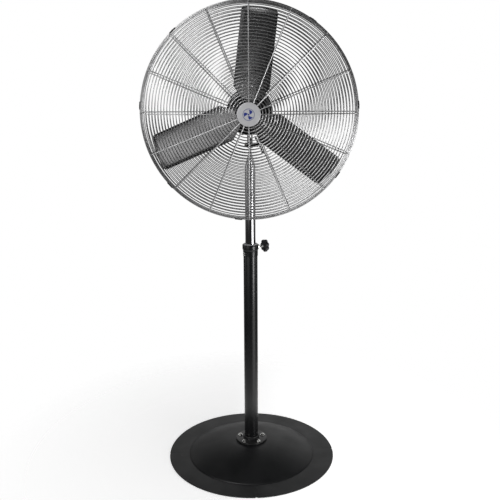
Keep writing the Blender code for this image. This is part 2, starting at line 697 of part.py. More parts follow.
def sheet(name, columns, rows, outline, thickness, lift):
    """A sheet on the blade's surface.  outline(u, v) gives its lateral and radial place."""
    bm = bmesh.new()
    grid = []
    for v in rows:
        line = []
        for u in columns:
            lateral, radial = outline(u, v)
            line.append(bm.verts.new(blade_surface(lateral, radial, BLADE_WIDTH / 2, lift)))
        grid.append(line)
    for low, high in zip(grid, grid[1:]):
        for index in range(len(columns) - 1):
            bm.faces.new((low[index], low[index + 1], high[index + 1], high[index]))
    obj = mesh_object(name, bm)
    CUTTERS.objects.link(obj)
    solid = obj.modifiers.new("sheet", "SOLIDIFY")
    solid.thickness = thickness
    solid.offset = 0.0
    return bake(obj)


def blade_outline(u, v):
    """A paddle: parallel sides, round tip corners and a root that narrows to the hub."""
    shoulder = 0.092
    half = BLADE_WIDTH / 2
    tip = math.sqrt(BLADE_TIP_RADIUS ** 2 - (u * half) ** 2)
    over = abs(u) * half - (half - BLADE_CORNER)
    if over > 0.0:
        tip -= BLADE_CORNER - math.sqrt(max(BLADE_CORNER ** 2 - over ** 2, 0.0))
    if v < 0.0:
        radial = shoulder + v * (shoulder - BLADE_ROOT_RADIUS)
        half += v * (half - 0.030)
        return u * half, radial
    return u * half, shoulder + v * (tip - shoulder)


def arm_outline(u, v):
    """A fan-shaped arm under the blade's root, wide where the rivets are."""
    half = 0.016 + (0.045 - 0.016) * v ** 1.3
    return u * half, 0.016 + v * (ARM_END_RADIUS - 0.016)


def rivet_spots():
    """The rivets of one blade: a row of three."""
    for offset in (-RIVET_SPACING, 0.0, RIVET_SPACING):
        yield offset, RIVET_ROW_RADIUS


def rivet_holes(radius):
    for lateral, radial in rivet_spots():
        spot = blade_surface(lateral, radial, BLADE_WIDTH / 2)
        yield moved(rod("rivet_hole", radius, -0.008, 0.008, TINY_ROUND),
                    along(surface_normal(lateral, radial), spot))


def build_blades():
    columns = (-1.0, -0.93, -0.75, -0.545, -0.27, 0.0, 0.27, 0.545, 0.75, 0.93, 1.0)
    rows = (-1.0, 0.0, 0.25, 0.5, 0.75, 1.0)
    blade = sheet("blade", columns, rows, blade_outline, BLADE_SHEET, 0.0)
    cut(blade, *rivet_holes(RIVET_SHANK_RADIUS + GAP))
    for index, angle in enumerate(BLADE_ANGLES, 1):
        copy = bpy.data.objects.new(f"blade_{index}", blade.data)
        place(copy, BLADE_COAT, spin_axis, rotation=(0.0, 0.0, math.radians(angle - 90.0)))


def build_spider():
    """The hub with its three arms, one welded piece behind the blades."""
    lift = -((BLADE_SHEET + ARM_SHEET) / 2 + GAP) / math.cos(math.radians(ROOT_SLOPE))
    hub = rod("blade_spider", HUB_RADIUS, BLADE_PLANE - HUB_HALF_LENGTH,
              BLADE_PLANE + HUB_HALF_LENGTH, ROUND)
    columns = (-1.0, -0.67, -0.33, 0.0, 0.33, 0.67, 1.0)
    rows = (0.0, 0.35, 0.7, 1.0)
    for angle in BLADE_ANGLES:
        arm = sheet("arm", columns, rows, arm_outline, ARM_SHEET, lift)
        cut(arm, *rivet_holes(RIVET_SHANK_RADIUS + GAP))
        join(hub, moved(arm, Matrix.Rotation(math.radians(angle - 90.0), 4, "Z")))
    cut(hub, rod("shaft_bore", SHAFT_RADIUS + GAP, 0.0, 0.3, 16))
    screw_hole = rod("screw_hole", 0.0030, 0.0, 0.04, TINY_ROUND)
    cut(hub, moved(screw_hole, hub_screw_matrix()))
    place(hub, BLACK_COAT, spin_axis)


def hub_screw_matrix():
    """The set screw points away from the shaft, between two arms."""
    angle = math.radians(BLADE_ANGLES[0] + 60.0)
    direction = (math.cos(angle), math.sin(angle), 0.0)
    return along(direction, (0.0, 0.0, BLADE_PLANE))


def build_hub_set_screw():
    screw = rod("hub_set_screw", 0.0027, SHAFT_RADIUS + GAP, HUB_RADIUS - 0.002, TINY_ROUND)
    place(moved(screw, hub_screw_matrix()), ZINC, spin_axis)


def build_rivets():
    front = BLADE_SHEET / 2 + 2 * GAP
    back = -BLADE_SHEET / 2 - ARM_SHEET - 4 * GAP
    head = RIVET_HEAD_RADIUS
    profile = [(0.0, front + 0.0026), (head * 0.55, front + 0.0022), (head, front + 0.0004),
               (head, front), (RIVET_SHANK_RADIUS, front), (RIVET_SHANK_RADIUS, back),
               (head * 0.8, back), (head * 0.6, back - 0.0014), (0.0, back - 0.0014)]
    rivet = turned("rivet", profile, TINY_ROUND, False)
    for blade_index, angle in enumerate(BLADE_ANGLES, 1):
        turn = Matrix.Rotation(math.radians(angle - 90.0), 4, "Z")
        for rivet_index, (lateral, radial) in enumerate(rivet_spots(), 1):
            spot = blade_surface(lateral, radial, BLADE_WIDTH / 2)
            copy = bpy.data.objects.new(f"rivet_{blade_index}_{rivet_index}", rivet.data)
            place(copy, ZINC, spin_axis)
            copy.matrix_basis = turn @ along(surface_normal(lateral, radial), spot)


# ----------------------------------------------------------------------- assembly
def build_fan():
    build_base_plate()
    build_base_flange()
    build_flange_bolts()
    build_outer_tube()
    build_tube_collar()
    build_collar_bush()
    build_clamp()
    build_pole_glide()
    build_inner_pole()
    build_tilt_yoke()
    build_yoke_screws()
    build_tilt_fasteners()
    build_motor()
    build_switch()
    build_guard("rear_guard", REAR_RINGS)
    build_guard("front_guard", FRONT_RINGS)
    build_guard_plate()
    build_guard_clips()
    build_badge()
    build_spider()
    build_hub_set_screw()
    build_blades()
    build_rivets()


build_fan()
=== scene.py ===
"""Looks for the industrial pedestal fan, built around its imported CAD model.

Units are metres in the CAD's own frame: +Z is up, the fan blows towards -Y and +X is to
the right of someone who stands in front of it.  The head's pieces are made in the head's
own axes (x to the right, y up, z forward along the shaft) and then turned into place.
"""

import json
import math

import bmesh
import bpy
from mathutils import Matrix, Vector


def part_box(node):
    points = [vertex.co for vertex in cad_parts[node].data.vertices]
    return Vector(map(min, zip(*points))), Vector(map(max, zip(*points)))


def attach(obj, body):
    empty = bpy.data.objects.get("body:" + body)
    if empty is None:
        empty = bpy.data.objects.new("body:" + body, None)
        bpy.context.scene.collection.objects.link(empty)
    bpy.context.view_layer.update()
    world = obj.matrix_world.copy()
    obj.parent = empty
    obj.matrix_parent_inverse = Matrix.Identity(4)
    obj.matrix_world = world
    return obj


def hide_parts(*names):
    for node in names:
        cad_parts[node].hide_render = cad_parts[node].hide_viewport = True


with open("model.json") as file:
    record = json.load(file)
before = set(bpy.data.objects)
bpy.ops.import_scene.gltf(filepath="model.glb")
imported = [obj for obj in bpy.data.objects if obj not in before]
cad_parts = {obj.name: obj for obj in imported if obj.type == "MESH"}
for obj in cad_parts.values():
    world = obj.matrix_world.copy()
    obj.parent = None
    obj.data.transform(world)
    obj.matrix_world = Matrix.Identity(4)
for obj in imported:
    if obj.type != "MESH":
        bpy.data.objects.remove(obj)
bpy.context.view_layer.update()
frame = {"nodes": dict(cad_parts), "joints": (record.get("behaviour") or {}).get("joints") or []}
JOINTS = {joint["name"]: joint for joint in frame["joints"]}


# ------------------------------------------------------------- measures of the CAD
def low(node):
    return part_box(node)[0]


def high(node):
    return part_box(node)[1]


def middle(node):
    return (low(node) + high(node)) / 2


BASE_RADIUS = high("base_plate").x
SEAT_HEIGHT = high("base_plate").z
FLANGE_RADIUS = high("base_flange").x
TUBE_RADIUS = high("outer_tube").x
TUBE_TOP = high("outer_tube").z
COLLAR_RADIUS = high("tube_collar").x
COLLAR_BOTTOM = low("tube_collar").z
COLLAR_TOP = high("tube_collar").z
BUSH_TOP = high("collar_bush").z
POLE_RADIUS = high("inner_pole").x
POLE_BOTTOM = low("inner_pole").z
TAB_TOP = high("inner_pole").z
TAB_HALF_WIDTH = high("inner_pole").y
HEAD_HEIGHT = JOINTS["spin"]["pos_m"][2]
TILT_HEIGHT = JOINTS["tilt"]["pos_m"][2]
CLAMP_HEIGHT = middle("clamp_screw").z
CLAMP_DIRECTION = Vector(JOINTS["clamp_advance"]["axis"])
MOTOR_RADIUS = high("motor_shell").x
MOTOR_HALF_LENGTH = high("motor_shell").y
COVER_FACE = high("motor_rear_cover").y
RIM_RADIUS = high("rear_guard").x
GUARD_FRONT = -low("front_guard").y
GUARD_BACK = -high("rear_guard").y
PLATE_RADIUS = high("guard_plate").x
PLATE_BACK = -high("guard_plate").y
PLATE_FRONT = -low("guard_plate").y
BADGE_RADIUS = high("badge").x
BADGE_BACK = -high("badge").y
BADGE_FRONT = -low("badge").y
BLADE_PLANE = -middle("hub_set_screw").y


def facing(direction, origin=(0.0, 0.0, 0.0)):
    """A matrix that lays a piece's z axis along a direction."""
    turn = Vector(direction).to_track_quat("Z", "Y").to_matrix().to_4x4()
    return Matrix.Translation(origin) @ turn


def about_z(degrees):
    return Matrix.Rotation(math.radians(degrees), 4, "Z")


HEAD = Matrix.Translation((0.0, 0.0, HEAD_HEIGHT)) @ Matrix.Rotation(math.pi / 2, 4, "X")
TILT = Matrix.Translation((0.0, 0.0, TILT_HEIGHT))
CLAMP = facing(CLAMP_DIRECTION, (0.0, 0.0, CLAMP_HEIGHT))
SIDEWAYS = facing((1.0, 0.0, 0.0))

# ------------------------------------------------------------------ shape constants
ROUND = 96                    # steps of a tube or a turned part
FINE = 160                    # steps of the base
SMALL = 24                    # steps of a fastener
GAP = 0.0003                  # between neighbouring pieces

DOME_RADIUS = 0.262
DOME_STEP = 0.0035
DOME_WALL = 0.007
DOME_CURVE = 1.7
RIM_THICKNESS = 0.005
SEAT_RADIUS = 0.070
NOTCH_RADIUS = 0.005
NOTCH_ANGLE = 4.0

FLANGE_SHEET = 0.007
FLANGE_NECK = 0.005
BOLT_COUNT = 5
BOLT_CIRCLE = 0.050
BOLT_START = -54.0

TUBE_WALL = 0.002
COLLAR_BORE = 0.0236
SKIRT_RADIUS = 0.0300
SKIRT_EDGE = 0.0299
BUSH_LIP = 0.0275
BUSH_RADIUS = 0.0232
MARK_ANGLE = 222.0            # middle of the press marks in the collar, and their half spread
MARK_SPREAD = 26.0
MARK_HEIGHTS = (0.8855, 0.8945)
MARK_WIDTH = 0.0011
MARK_DEPTH = 0.0009

CRIMP_BOTTOM = 1.233          # the pole is round up to here
CRIMP_TOP = 1.3125            # and flat from here on
TAB_HALF_THICKNESS = 0.0048

EAR_START = 0.0053
EAR_SHEET = 0.005
EAR_RADIUS = 0.013
SADDLE_HEIGHT = 1.370
LEVER_END = 0.0330
LEVER_ROD = 0.0036
MOTOR_WALL = 0.003

GUARD_RADIALS = 16
RING_PITCH = 0.0112
RING_WIRE = 0.00175
RADIAL_WIRE = 0.0020
RIM_WIRE = 0.0031
CORNER_RADIUS = 0.386         # where a guard's face turns into its side
SIDE_RING_RADII = (0.3925, 0.3955)
REAR_INNER_RADIUS = 0.076
CLIP_ANGLES = (4, 55, 92, 133, 176, 222, 264, 325)
CLIP_LENGTH = 0.028
CLIP_HALF_WIDTH = 0.0092
CLIP_SHEET = 0.0018

BLADE_ANGLES = (83.5, 203.5, 323.5)
BLADE_TIP = 0.378
BLADE_ROOT = 0.046
BLADE_ROOT_HALF_WIDTH = 0.030
BLADE_SHOULDER = 0.092
BLADE_HALF_WIDTH = 0.066
BLADE_PITCH = math.radians(25.0)
BLADE_CAMBER = 0.009
BLADE_SHEET = 0.0016
BLADE_CORNER = 0.016
RIVET_ROW = 0.0955
RIVET_SPACING = 0.036
RIVET_INNER = 0.069
ARM_SHEET = 0.0025
ARM_SLOPE = 0.26              # radians that the blade's camber adds to its pitch at an edge
HUB_RADIUS = 0.025
HUB_BORE = 0.0068
HUB_HALF_LENGTH = 0.016

FLOOR_LEVEL = -0.0005
FLOOR_FADE = (0.38, 1.15)     # where the floor starts to fade and where it is gone
FLOOR_GLOW = 0.60
FLOOR_GLOW_RIGHT = 1.10       # painted light: the floor's glow is stronger on the right, a painted pool of light under the second soft box

# brightness of the wall behind the fan, by the sine of the height angle
WALL_LEVELS = ((0.02, 0.30), (0.22, 0.42), (0.45, 1.05), (0.58, 0.60), (0.74, 0.04),
               (0.98, 0.02))
# name, place, target, width, height, power
LAMPS = (("key_left", (-1.61, -2.21, 3.31), (-0.1, 0.0, 1.4), 2.0, 1.8, 45.0),
         ("panel_right", (2.11, -1.77, 0.50), (0.0, 0.0, 0.50), 0.95, 1.0, 26.0))
FRONT_GLOW = 0.02
BELOW_GLOW = 0.22
BAND_GLOW = 1.20              # a pale strip in front on the left, at eye level
SIDE_GLOW = 1.10              # pale walls to the left and right, at eye level
POOL_GLOW = 1.30              # the lit floor farther out on the right

CAMERA_DISTANCE = 2.989       # from the mast's axis, along the floor
CAMERA_HEIGHT = 1.706
CAMERA_SWING = 0.99           # degrees to the right of the fan's own front
CAMERA_TURN = 0.03            # degrees to the left of the mast
CAMERA_PITCH = 13.76          # degrees downwards
CAMERA_ROLL = -0.30
CAMERA_LENS = 55.16
CAMERA_SHIFT = -0.0344


# ------------------------------------------------------------------ node tree helpers
def shade(colour, factor, lift=0.0):
    """A lighter or darker colour."""
    return tuple(min(1.0, c * factor + lift) for c in colour)


class Nodes:
    """Short calls that build a node tree."""

    def __init__(self, tree):
        self.tree = tree

    def add(self, kind, **settings):
        node = self.tree.nodes.new(kind)
        for name, value in settings.items():
            setattr(node, name, value)
        return node

    def put(self, socket, value):
        """Give a socket a number or colour, or link another socket to it."""
        if isinstance(value, bpy.types.NodeSocket):
            self.tree.links.new(value, socket)
        else:
            socket.default_value = value

    def fill(self, node, **values):
        """Put a value on each named socket of a node."""
        for name, value in values.items():
            self.put(node.inputs[name.replace("_", " ").title().replace("Ior", "IOR")], value)
        return node

    def split(self, vector):
        return self.fill(self.add("ShaderNodeSeparateXYZ"), vector=vector).outputs

    def maths(self, operation, first, *others):
        """One operation on one value, or on several values from left to right."""
        for other in others or (None,):
            node = self.add("ShaderNodeMath", operation=operation)
            self.put(node.inputs[0], first)
            if other is not None:
                self.put(node.inputs[1], other)
            first = node.outputs[0]
        return first

    def times(self, *values):
        return self.maths("MULTIPLY", *values)

    def plus(self, *values):
        return self.maths("ADD", *values)

    def spread(self, value, from_min, from_max, to_min=0.0, to_max=1.0, blend="LINEAR"):
        """Map a range of values to another range and keep it inside that range."""
        node = self.add("ShaderNodeMapRange", clamp=True, interpolation_type=blend)
        self.fill(node, value=value, from_min=from_min, from_max=from_max, to_min=to_min,
                  to_max=to_max)
        return node.outputs["Result"]


class Surface(Nodes):
    """One material, with the textures that its looks are made of."""

    def __init__(self, name):
        self.material = bpy.data.materials.new(name)
        self.material.use_nodes = True
        super().__init__(self.material.node_tree)
        self.coordinates = self.add("ShaderNodeTexCoord").outputs["Object"]

    def noise(self, scale, detail=3.0, roughness=0.55, stretch=None, distortion=0.0):
        where = self.coordinates
        if stretch:
            mapping = self.add("ShaderNodeMapping")
            where = self.fill(mapping, vector=where, scale=stretch).outputs["Vector"]
        node = self.add("ShaderNodeTexNoise")
        self.fill(node, vector=where, scale=scale, detail=detail, roughness=roughness,
                  distortion=distortion)
        return node.outputs["Fac"]

    def patches(self, scale, detail, start, end, to_min=0.0, to_max=1.0, **kind):
        """Noise between two levels, spread over a range."""
        return self.spread(self.noise(scale, detail, **kind), start, end, to_min, to_max)

    def cells(self, scale):
        node = self.fill(self.add("ShaderNodeTexVoronoi"), vector=self.coordinates, scale=scale)
        return node.outputs["Distance"]

    def place(self):
        """The x, y and z of a point of the piece."""
        return self.split(self.coordinates)

    def from_axis(self):
        """The distance from the piece's z axis."""
        x, y, _ = self.place()
        return self.maths("SQRT", self.plus(self.maths("POWER", x, 2.0),
                                            self.maths("POWER", y, 2.0)))

    def within(self, value, middle_value, inner, outer):
        """1 close to a value, 0 away from it."""
        off = self.maths("ABSOLUTE", self.maths("SUBTRACT", value, middle_value))
        return self.spread(off, inner, outer, 1.0, 0.0)

    def up_facing(self):
        """How far a surface faces up, from 0 to 1."""
        normal = self.add("ShaderNodeNewGeometry").outputs["Normal"]
        return self.spread(self.split(normal)[2], 0.35, 1.0)

    def worn_edges(self, start, end):
        """Convex edges, from the mesh's own curvature."""
        return self.spread(self.add("ShaderNodeNewGeometry").outputs["Pointiness"], start, end)

    def mix(self, share, first, second):
        node = self.add("ShaderNodeMix", data_type="RGBA")
        self.put(node.inputs["Factor"], share)
        for name, colour in (("A", first), ("B", second)):
            socket = [s for s in node.inputs if s.name == name and s.type == "RGBA"][0]
            self.put(socket, (*colour, 1.0) if isinstance(colour, tuple) else colour)
        return [s for s in node.outputs if s.type == "RGBA"][0]

    def bump(self, height, depth, strength=1.0, below=None):
        node = self.add("ShaderNodeBump")
        self.fill(node, strength=strength, distance=depth, height=height)
        if below is not None:
            self.put(node.inputs["Normal"], below)
        return node.outputs["Normal"]

    def set(self, **values):
        self.fill(self.tree.nodes["Principled BSDF"], **values)
        return self.material


# -------------------------------------------------------------------------- materials
def powder_coat(name, colour, rough, dust=0.10, peel=0.00006, pale_mark_heights=()):
    """Baked coating: orange peel, faint mottling, dust on top and rubbed edges.

    The press-mark heights given here get a pale grey painted in narrow bands, only on the piece's
    left side.
    """
    nodes = Surface(name)
    base = nodes.mix(nodes.patches(9.0, 4.0, 0.35, 0.68), colour, shade(colour, 1.35, 0.004))
    settled = nodes.times(nodes.up_facing(), nodes.patches(26.0, 5.0, 0.35, 0.75, 0.15), dust)
    base = nodes.mix(settled, base, (0.22, 0.21, 0.20))
    rubbed = nodes.times(nodes.worn_edges(0.53, 0.60),
                         nodes.patches(60.0, 4.0, 0.42, 0.62, 0.0, 0.35))
    base = nodes.mix(rubbed, base, (0.16, 0.16, 0.165))
    gloss = nodes.patches(14.0, 5.0, 0.3, 0.7, *rough, stretch=(1.0, 1.0, 0.35))
    gloss = nodes.plus(gloss, nodes.times(settled, 0.6))
    speck = nodes.patches(420.0, 2.0, 0.66, 0.74)
    normal = nodes.bump(nodes.plus(nodes.noise(650.0, 2.0), nodes.times(speck, 0.4)), peel)
    normal = nodes.bump(nodes.noise(38.0, 2.0), 0.00012, 0.6, normal)
    if pale_mark_heights:
        # pale grey bands painted at the press-mark heights, limited to the left side by x
        x, _, z = nodes.place()
        pale_marks = nodes.plus(*[nodes.within(z, height, 0.0014, 0.0020) for height in pale_mark_heights])
        pale_marks = nodes.times(pale_marks, nodes.spread(x, -0.0235, -0.0205, 1.0, 0.0))
        base = nodes.mix(pale_marks, base, (0.80, 0.80, 0.78))
    return nodes.set(base_color=base, roughness=gloss, normal=normal, ior=1.5)


def base_coat(name, colour):
    """The cast base's coating: a leathery texture, scuffs near the rim and floor dust."""
    nodes = Surface(name)
    base = nodes.mix(nodes.patches(7.0, 5.0, 0.32, 0.70), colour, shade(colour, 1.30, 0.003))
    toward_rim = nodes.spread(nodes.from_axis(), 0.16, 0.345)
    scratch = nodes.patches(30.0, 6.0, 0.655, 0.70, roughness=0.7, stretch=(1.0, 5.0, 1.0),
                            distortion=0.6)
    base = nodes.mix(nodes.times(scratch, toward_rim, 0.35), base, (0.13, 0.13, 0.135))
    dust = nodes.times(nodes.up_facing(),
                       nodes.patches(18.0, 6.0, 0.38, 0.78, 0.0, 0.030, roughness=0.6))
    base = nodes.mix(dust, base, (0.24, 0.23, 0.22))
    rubbed = nodes.times(nodes.worn_edges(0.54, 0.62),
                         nodes.patches(45.0, 4.0, 0.45, 0.65, 0.0, 0.4))
    base = nodes.mix(rubbed, base, (0.17, 0.17, 0.175))
    gloss = nodes.plus(nodes.patches(11.0, 5.0, 0.3, 0.7, 0.40, 0.50), dust)
    normal = nodes.bump(nodes.noise(520.0, 3.0), 0.00010)
    normal = nodes.bump(nodes.noise(16.0, 3.0), 0.0006, 0.35, normal)
    return nodes.set(base_color=base, roughness=gloss, normal=normal, ior=1.5)


def plated(name, colour, rough, grain=(1.0, 1.0, 1.0), tint=None, wave=0.0):
    """Plated or ground metal: faint drawing lines, haze in patches and a few specks."""
    nodes = Surface(name)
    haze = nodes.patches(22.0, 5.0, 0.38, 0.68)
    base = nodes.mix(haze, colour, tint or shade(colour, 0.90))
    speck = nodes.patches(310.0, 2.0, 0.70, 0.76, 0.0, 0.5)
    base = nodes.mix(speck, base, shade(colour, 0.45))
    gloss = nodes.plus(nodes.spread(haze, 0.0, 1.0, *rough), nodes.times(speck, 0.25))
    normal = nodes.bump(nodes.noise(240.0, 3.0, stretch=grain), 0.000010)
    if wave:
        normal = nodes.bump(nodes.noise(30.0, 1.0, stretch=(1.0, 1.0, 0.4)), wave, 1.0, normal)
    return nodes.set(base_color=base, roughness=gloss, metallic=1.0, normal=normal)


def blade_enamel(name, colour):
    """Semi-gloss enamel on pressed steel: dust along the blade and faint flow marks."""
    nodes = Surface(name)
    flow = nodes.patches(24.0, 5.0, 0.35, 0.7, stretch=(1.0, 0.25, 1.0))
    base = nodes.mix(flow, colour, shade(colour, 1.3))
    dust = nodes.patches(40.0, 6.0, 0.52, 0.80, 0.0, 0.03, roughness=0.65)
    base = nodes.mix(dust, base, (0.20, 0.19, 0.18))
    base = nodes.mix(nodes.times(nodes.worn_edges(0.54, 0.60), 0.25), base, (0.15, 0.15, 0.15))
    gloss = nodes.patches(18.0, 4.0, 0.3, 0.7, 0.21, 0.27)
    normal = nodes.bump(nodes.noise(600.0, 2.0), 0.00005)
    normal = nodes.bump(nodes.noise(12.0, 2.0), 0.0006, 0.4, normal)
    return nodes.set(base_color=base, roughness=gloss, normal=normal, ior=2.0)


def moulded(name, colour, rough, texture=900.0):
    """Moulded plastic with a fine spark texture and rubbed high spots."""
    nodes = Surface(name)
    base = nodes.mix(nodes.patches(35.0, 4.0, 0.35, 0.7), colour, shade(colour, 1.25, 0.004))
    rubbed = nodes.times(nodes.worn_edges(0.52, 0.60), 0.30)
    base = nodes.mix(rubbed, base, shade(colour, 1.0, 0.07))
    gloss = nodes.patches(50.0, 3.0, 0.3, 0.7, *rough)
    normal = nodes.bump(nodes.cells(texture), 0.00005)
    return nodes.set(base_color=base, roughness=gloss, normal=normal, ior=1.47)


def badge_lacquer(name):
    """Silver lacquer with a spun grain and a small blue three-blade sign in the middle."""
    nodes = Surface(name)
    x, y, _ = nodes.place()
    reach = nodes.from_axis()
    sweep = nodes.plus(nodes.times(nodes.maths("ARCTAN2", y, x), 3.0), nodes.times(reach, -95.0))
    inside = nodes.spread(reach, 0.0172, 0.0176, 1.0, 0.0)
    outside = nodes.spread(reach, 0.0044, 0.0048)
    petals = nodes.times(nodes.spread(nodes.maths("SINE", sweep), 0.10, 0.22), inside, outside)
    hub = nodes.spread(reach, 0.0028, 0.0032, 1.0, 0.0)
    printed = nodes.maths("MAXIMUM", petals, hub, nodes.within(reach, 0.0205, 0.0006, 0.0009))
    silver = nodes.mix(nodes.patches(60.0, 4.0, 0.3, 0.7), (0.62, 0.62, 0.635),
                       (0.68, 0.68, 0.695))
    base = nodes.mix(printed, silver, (0.030, 0.045, 0.26))
    metal = nodes.spread(printed, 0.0, 1.0, 0.15, 0.0)
    gloss = nodes.patches(80.0, 3.0, 0.3, 0.7, 0.34, 0.44)
    grain = nodes.times(nodes.maths("SINE", nodes.times(reach, 5200.0)), 0.3)
    normal = nodes.bump(nodes.plus(grain, nodes.noise(400.0, 3.0)), 0.000012)
    return nodes.set(base_color=base, metallic=metal, roughness=gloss, normal=normal)


def laminated(name, colour):
    """Stacked core sheets: fine lines across the axis."""
    nodes = Surface(name)
    base = nodes.mix(nodes.patches(45.0, 5.0, 0.5, 0.75, 0.0, 0.5), colour, (0.20, 0.11, 0.07))
    layers = nodes.maths("SINE", nodes.times(nodes.place()[1], 6000.0))
    gloss = nodes.patches(60.0, 3.0, 0.3, 0.7, 0.45, 0.62)
    normal = nodes.bump(layers, 0.00008)
    return nodes.set(base_color=base, metallic=0.85, roughness=gloss, normal=normal)


def wound(name, colour):
    """Varnished winding wire."""
    nodes = Surface(name)
    turns = nodes.noise(300.0, 2.0, stretch=(1.0, 0.08, 1.0))
    base = nodes.mix(nodes.spread(turns, 0.4, 0.6), colour, shade(colour, 0.5))
    gloss = nodes.patches(90.0, 3.0, 0.3, 0.7, 0.30, 0.42)
    normal = nodes.bump(turns, 0.0004)
    return nodes.set(base_color=base, metallic=0.9, roughness=gloss, normal=normal)


BLACK = powder_coat("black_powder_coat", (0.010, 0.0105, 0.0112), (0.26, 0.36))
TUBE_BLACK = powder_coat("tube_powder_coat", (0.0050, 0.0055, 0.0060), (0.22, 0.29), dust=0.03)
COLLAR_BLACK = powder_coat("collar_powder_coat", (0.0050, 0.0055, 0.0060), (0.22, 0.29),
                           dust=0.03, pale_mark_heights=MARK_HEIGHTS)
MOTOR_BLACK = powder_coat("motor_enamel", (0.020, 0.020, 0.021), (0.34, 0.46), peel=0.00012)
BASE = base_coat("base_powder_coat", (0.0040, 0.0046, 0.0054))
CHROME = plated("bright_chrome", (0.80, 0.80, 0.81), (0.035, 0.075), (1.0, 1.0, 0.03),
                wave=0.00004)
WIRE = plated("chrome_wire", (0.60, 0.60, 0.605), (0.27, 0.34))
ZINC = plated("zinc_plate", (0.68, 0.69, 0.70), (0.20, 0.34), tint=(0.66, 0.63, 0.55))
RIVET = plated("bright_rivet", (0.90, 0.90, 0.90), (0.38, 0.50))
STEEL = plated("ground_steel", (0.56, 0.56, 0.57), (0.20, 0.30), (1.0, 1.0, 12.0))
ENAMEL = blade_enamel("blade_enamel", (0.0050, 0.0052, 0.0057))
KNOB_PLASTIC = moulded("black_moulding", (0.017, 0.017, 0.018), (0.36, 0.50))
NYLON = moulded("grey_nylon", (0.42, 0.42, 0.43), (0.34, 0.46), 700.0)
SILVER = badge_lacquer("badge_lacquer")
CORE = laminated("core_sheets", (0.20, 0.20, 0.21))
COPPER = wound("winding_wire", (0.60, 0.28, 0.12))


# ---------------------------------------------------------------------- mesh helpers
class Shell:
    """Vertices and faces of a piece while it is put together."""

    def __init__(self):
        self.verts = []
        self.faces = []

    def join(self, other, matrix=None):
        """Add another shell's faces, moved by a matrix."""
        start = len(self.verts)
        for vert in other.verts:
            self.verts.append(tuple(matrix @ Vector(vert)) if matrix else vert)
        for face in other.faces:
            self.faces.append(tuple(index + start for index in face))
        return self

    def loop(self, points):
        """Add points and return their indices."""
        start = len(self.verts)
        self.verts.extend(tuple(point) for point in points)
        return list(range(start, len(self.verts)))

    def bridge(self, loops):
        """Join closed loops of equal length and cap the first and the last."""
        for first, second in zip(loops, loops[1:]):
            for k in range(len(first)):
                n = (k + 1) % len(first)
                self.faces.append((first[k], first[n], second[n], second[k]))
        self.faces.append(tuple(loops[0]))
        self.faces.append(tuple(reversed(loops[-1])))
        return self

    def sheet(self, rows):
        """Add an open sheet through rows of points."""
        loops = [self.loop(row) for row in rows]
        for first, second in zip(loops, loops[1:]):
            for k in range(len(first) - 1):
                self.faces.append((first[k], first[k + 1], second[k + 1], second[k]))
        return self

    def piece(self, name, material, matrix=None, sharp=35.0):
        """Make the object, with its faces turned outwards."""
        bm = bmesh.new()
        verts = [bm.verts.new(vert) for vert in self.verts]
        for face in self.faces:
            bm.faces.new([verts[index] for index in face])
        bmesh.ops.recalc_face_normals(bm, faces=bm.faces)
        mesh = bpy.data.meshes.new(name)
        bm.to_mesh(mesh)
        bm.free()
        mesh.materials.append(material)
        mesh.shade_smooth()
        mesh.set_sharp_from_angle(angle=math.radians(sharp))
        obj = bpy.data.objects.new(name, mesh)
        bpy.context.scene.collection.objects.link(obj)
        if matrix:
            obj.matrix_world = matrix
        return obj

    def fit(self, name, material, body, slot, *nodes, matrix=None, sharp=35.0, thickness=0.0):
        """Make the piece, fix it to its body and hide the CAD nodes that it stands for."""
        obj = self.piece(name, material, matrix, sharp)
        if thickness:
            solid = obj.modifiers.new("sheet", "SOLIDIFY")
            solid.thickness = thickness
            solid.offset = 0.0
        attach(obj, body)
        if nodes:
            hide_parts(*nodes)


def rounded(corners, closed=True, steps=4):
    """A profile from (radius, height) or (radius, height, fillet) corners."""
    points = []
    count = len(corners)
    for index, corner in enumerate(corners):
        point = Vector(corner[:2])
        fillet = corner[2] if len(corner) > 2 else 0.0
        if fillet == 0.0 or (not closed and index in (0, count - 1)):
            points.append(tuple(point))
            continue
        back = Vector(corners[index - 1][:2]) - point
        ahead = Vector(corners[(index + 1) % count][:2]) - point
        reach = fillet / math.tan(back.angle(ahead) / 2)
        start = point + back.normalized() * min(reach, back.length * 0.49)
        end = point + ahead.normalized() * min(reach, ahead.length * 0.49)
        for step in range(steps + 1):
            t = step / steps
            bend = start * (1 - t) ** 2 + point * (2 * t * (1 - t)) + end * t ** 2
            points.append(tuple(bend))
    return points


def lathe(profile, steps=ROUND, closed=True, radius_at=None, angles=None):
    """Turn a profile of (radius, height) points about z."""
    shell = Shell()
    angles = angles or [2 * math.pi * k / steps for k in range(steps)]
    steps = len(angles)
    rows = []
    for radius, height in profile:
        if radius < 1e-7:
            rows.append(shell.loop([(0.0, 0.0, height)]) * steps)
            continue
        row = []
        for angle in angles:
            r = radius_at(angle, radius, height) if radius_at else radius
            row.append((r * math.cos(angle), r * math.sin(angle), height))
        rows.append(shell.loop(row))
    if closed:
        rows.append(rows[0])
    for first, second in zip(rows, rows[1:]):
        for k in range(steps):
            n = (k + 1) % steps
            corners = []
            for index in (first[k], second[k], second[n], first[n]):
                if index not in corners:
                    corners.append(index)
            if len(corners) > 2:
                shell.faces.append(tuple(corners))
    return shell


def turned(corners, steps=ROUND, closed=True):
    """A turned part with rounded corners.  Its profile is open where it meets the axis."""
    return lathe(rounded(corners, closed), steps, closed)


def circle(count, radius, start=0.0):
    """Points around the axis, the first of them at a start angle in degrees."""
    points = []
    for k in range(count):
        angle = math.radians(start) + 2 * math.pi * k / count
        points.append((radius * math.cos(angle), radius * math.sin(angle)))
    return points


def torus(radius, height, wire, steps=128, sides=8):
    """A ring of round wire."""
    return lathe([(radius + x, height + y) for x, y in circle(sides, wire)], steps)


